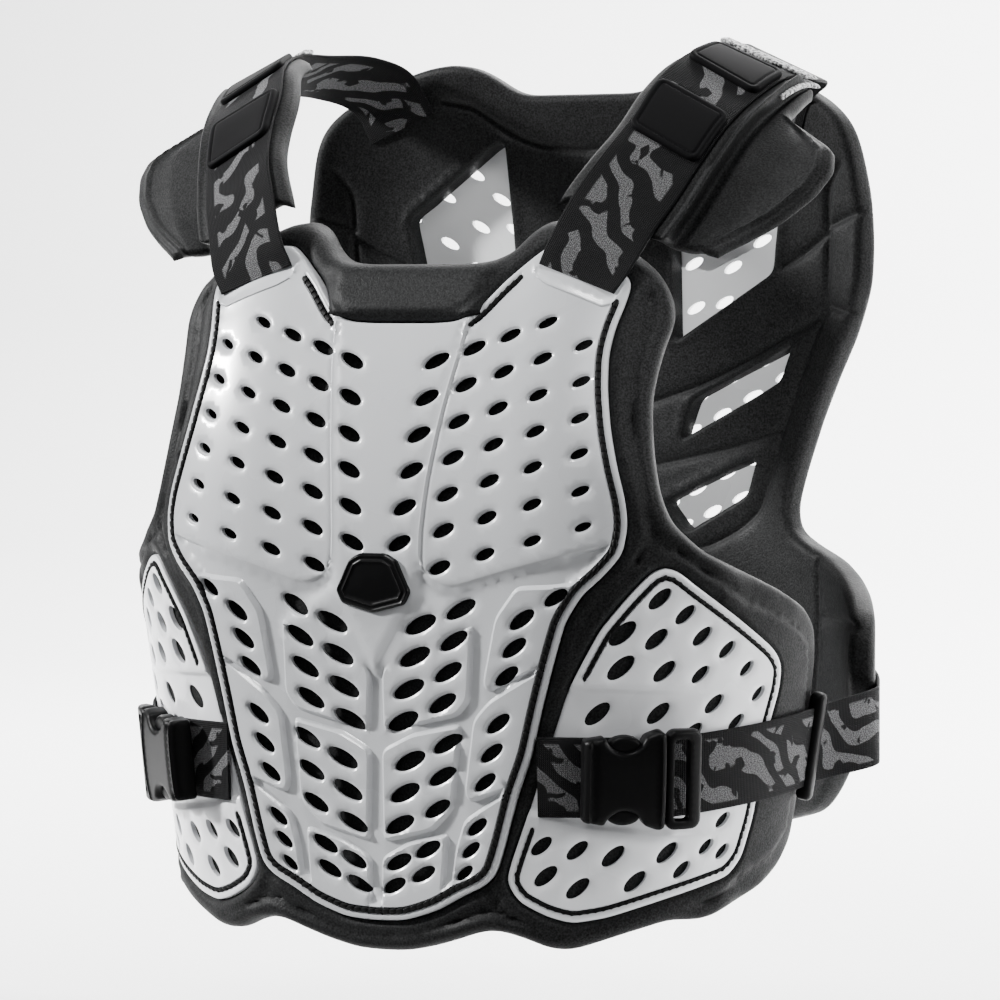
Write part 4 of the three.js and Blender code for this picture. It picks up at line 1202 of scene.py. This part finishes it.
# Waist webbing, buckles and sliders
def face_frame(across, z, lift):
    """Origin and axes of a flat frame on the front's face: along, up and out."""
    def point(a, b):
        return front_point(np.array(float(a)), np.array(float(b)), lift)

    along = point(across + 1, z) - point(across - 1, z)
    along /= np.linalg.norm(along)
    out = np.cross(along, point(across, z + 1) - point(across, z - 1))
    out /= np.linalg.norm(out)
    return point(across, z), along, np.cross(out, along), out


def framed(across, z, lift):
    origin, along, up, out = face_frame(across, z, lift)

    def place(x, y, height):
        x, y, height = (np.asarray(v, dtype=float)[..., None] for v in (x, y, height))
        return origin + along * x + up * y + out * height

    return place


def waist_grid(stops):
    rows = np.linspace(0, len(stops) - 1, 6 * len(stops))
    shares = COLUMNS - 0.5
    lines = []
    for share in shares:
        points = [
            face(np.array(a), np.array(z + share * WAIST_WEBBING), lift) for face, a, z, lift in stops
        ]
        lines.append(curve_points(points, rows))
    return np.stack(lines, axis=1)


def rear_z(across):
    return WAIST_Z + WEBBING_CLIMB * (across - BUCKLE_ACROSS - TONGUE_OFFSET)


def waist_webbing(side, hand):
    stops = [(front_point, float(a), WAIST_Z, WEBBING_LIFT) for a in np.linspace(88, 130, 4)]
    webbing(f"waist_strap_front_{hand}", waist_grid(stops), side, facing=-1, seed=15)
    start = BUCKLE_ACROSS + TONGUE_OFFSET - 8
    stops = [(front_point, float(a), rear_z(a), WEBBING_LIFT) for a in np.linspace(start, FRONT_REACH + 4, 8)]
    for k, across in enumerate(np.linspace(BACK_REACH + 6, BACK_REACH - 48, 5)):
        stops.append((back_point, float(across), rear_z(FRONT_REACH) + 7 + 2 * k, BACK_FOAM_WALL + WEBBING_LIFT))
    webbing(f"waist_strap_rear_{hand}", waist_grid(stops), side, facing=-1, seed=140)


def arc(centre, radius, first, last, count):
    angles = np.radians(np.linspace(first, last, count))
    return [(centre[0] + radius * math.cos(a), centre[1] + radius * math.sin(a)) for a in angles]


def buckle(side, hand):
    place = framed(BUCKLE_ACROSS, WAIST_Z, BUCKLE_LIFT)
    length, width = BODY_SIZE
    half = length / 2
    corners = [(-half, -width * 0.41), (-half + NOTCH * 0.8, -width * 0.43)]
    corners += arc((0, -width * 0.5), NOTCH, 165, 15, 14)
    corners += [(half - 3, -width * 0.5), (half, -width * 0.47), (half, width * 0.47), (half - 3, width * 0.5)]
    corners += arc((0, width * 0.5), NOTCH, -15, -165, 14)
    corners += [(-half + NOTCH * 0.8, width * 0.43), (-half, width * 0.41)]
    loop = rounded(np.array(corners) + (BODY_OFFSET, 0), 0.9, 3)
    sheet = Sheet(loop, (), (0.3, 0.8, 1.5, 2.4, 3.2), (), (), 2.0)
    x = sheet.points[:, 0] - BODY_OFFSET
    y = sheet.points[:, 1]
    crown = 2.0 * (1 - np.clip(np.abs(y) / (width / 2), 0, 1) ** 3)
    bar = 1.2 * bell(x + half - 2.6, 1.1) - 1.6 * smooth_step((-x - half + 6.5) / 3)
    lip = 0.7 * smooth_step((x - half + 3.2) / 0.8)
    top = BUCKLE_THICKNESS - 2.0 + crown - edge_drop(sheet.edge, 2.4) + bar + lip
    low = edge_drop(sheet.edge, 1.5)
    dress(f"buckle_body_{hand}", "buckle", sheet, place, top, low, [BUCKLE], side=side, sharp=45)
    for number, end in enumerate((1, -1)):
        ring = np.array(arc((0, 0), NOTCH - 2.0, 0, 360, 28)[:-1])
        prong = ring * (1, 0.58) + (BODY_OFFSET, end * (width / 2 - 7.6))
        prong_sheet = Sheet(prong, (), (0.4, 1.1, 2.0), (), (), 1.8)
        top = 9.5 - edge_drop(prong_sheet.edge, 2.2)
        name = f"buckle_prong_{hand}_{number}"
        piece = shell(name, prong_sheet, place, top, top * 0 + 3.0, [BUCKLE], side=side)
        settle(piece, "buckle")
    length, width = TONGUE_SIZE
    outer = rounded_box(length, width, 5) + (TONGUE_OFFSET, 0)
    window = rounded_box(8, 41, 1.6) + (TONGUE_OFFSET - 1.5, 0)
    sheet = Sheet(outer, [window], (0.4, 1.1, 2.0), (0.5,), (), 2.0)
    x = sheet.points[:, 0] - TONGUE_OFFSET
    top = 10.5 - 0.012 * (x + length / 2) ** 2 - edge_drop(sheet.edge, 2.2) - 0.4 * edge_drop(sheet.hole, 1.0)
    low = edge_drop(sheet.edge, 1.5) + 1.5
    dress(f"buckle_tongue_{hand}", "buckle", sheet, place, top, low, [BUCKLE], side=side)


def slider(side, hand):
    across = FRONT_REACH - 4
    place = framed(across, rear_z(across), WEBBING_LIFT)
    sheet = Sheet(rounded_box(8, 56, 3.6), (), (0.3, 0.8, 1.6, 2.6), (), (), 1.6)
    top = 4.0 - edge_drop(sheet.edge, 2.6)
    low = -4.0 + edge_drop(sheet.edge, 2.6)
    dress(f"strap_slider_{hand}", "buckle", sheet, place, top, low, [BUCKLE], side=side)


for side, hand in SIDES:
    shoulder_strap(side, hand)
    shoulder_pad(side, hand)
    for name, start_row, length in zip(("front_tab", "rear_tab"), TAB_ROWS, TAB_LENGTHS):
        strap_tab(side, f"{name}_{hand}", start_row, length)
    strap_fuzz(side, hand)
    waist_webbing(side, hand)
    buckle(side, hand)
    slider(side, hand)

# Floor, lights and camera
floor_material = new_material("floor", (0.9, 0.9, 0.9), 0.9, specular=0.1)
floor_nodes = Nodes(floor_material)
floor_depth = floor_nodes.add("ShaderNodeSeparateXYZ", {0: floor_nodes.place()}).outputs[1]
floor_share = floor_nodes.ramp(floor_depth, -0.4, 0.1)
floor_nodes.join(floor_nodes.blend(floor_share, (0.04, 0.04, 0.04), (0.9, 0.9, 0.9)), "Base Color")
# The pale part of the floor glows, as painted light; in front of the body the floor is dark
floor_nodes.join(floor_nodes.blend(floor_share, (0.0, 0.0, 0.0), (1.0, 1.0, 1.0)), "Emission Color")
floor_nodes.shader.inputs["Emission Strength"].default_value = 0.3
floor_z = -0.52
floor_points = []
floor_faces = []
rise = [(-3.0, 0.0), (2.2, 0.0), (2.8, 0.1), (3.3, 0.4), (3.6, 0.9), (3.7, 1.6), (3.7, 5.0)]
for y, z in rise:
    floor_points += [(-8.0, y, floor_z + z), (8.0, y, floor_z + z)]
for k in range(len(rise) - 1):
    floor_faces.append((2 * k, 2 * k + 1, 2 * k + 3, 2 * k + 2))
floor_mesh = bpy.data.meshes.new("floor")
floor_mesh.from_pydata(floor_points, [], floor_faces)
floor_mesh.materials.append(floor_material)
floor_mesh.shade_smooth()
floor = new_object("floor", floor_mesh)

# Lights: place, target, diameter in metres or a spot's angle in degrees, and power in watts
CENTRE = (0, 0, -0.22)
SPOT_PLACE = (1.12, -2.1, -0.05)
LIGHTS = {
    "key": ((-2.2, -1.1, 0.95), CENTRE, 0.3, 165),
    "fill": ((0.5, -2.4, 1.3), CENTRE, 1.0, 9),
    "inner": ((0.1, -0.75, 2.1), (0.06, 0.1, -0.15), 0.5, 40),
    "flank": ((2.4, -0.3, 0.5), (0.1, -0.05, -0.35), 0.5, 24),
    "rim_left": ((-1.8, 1.2, 0.8), CENTRE, 0.9, 18),
    "rim_right": ((1.9, 1.15, 0.55), CENTRE, 0.6, 34),
    "backdrop": ((0, 1.9, 2.2), (0, 3.6, 0.0), 3.0, 600),
    "right_windows": (SPOT_PLACE, (0.08, 0.11, -0.17), 4.4, 150),
    "left_window": (SPOT_PLACE, (-0.075, 0.1, -0.09), 2.4, 60),
}
for name, (place, target, size, power) in LIGHTS.items():
    data = bpy.data.lights.new(name, "SPOT" if place == SPOT_PLACE else "AREA")
    if place == SPOT_PLACE:
        data.spot_size = math.radians(size)
        data.spot_blend = 0.5
    else:
        data.shape = "DISK"
        data.size = size
    data.energy = power
    light = new_object(name, data)
    light.location = place
    light.rotation_euler = (Vector(target) - Vector(place)).to_track_quat("-Z", "Y").to_euler()

world = bpy.data.worlds.new("studio")
world.use_nodes = True
world.node_tree.nodes["Background"].inputs["Color"].default_value = (0.97, 0.98, 1.0, 1)
world.node_tree.nodes["Background"].inputs["Strength"].default_value = 0.12
bpy.context.scene.world = world

CAMERA_PLACE = (1.10455, -2.17015, -0.12515)
CAMERA_TURN = math.radians(27)
CAMERA_DIP = math.radians(2.35)
camera_data = bpy.data.cameras.new("camera")
camera_data.sensor_width = 36
camera_data.lens = 166.6
camera = new_object("camera", camera_data)
camera.location = CAMERA_PLACE
forward = Vector(
    (
        -math.sin(CAMERA_TURN) * math.cos(CAMERA_DIP),
        math.cos(CAMERA_TURN) * math.cos(CAMERA_DIP),
        -math.sin(CAMERA_DIP),
    )
)
camera.rotation_euler = forward.to_track_quat("-Z", "Y").to_euler()
bpy.context.scene.camera = camera
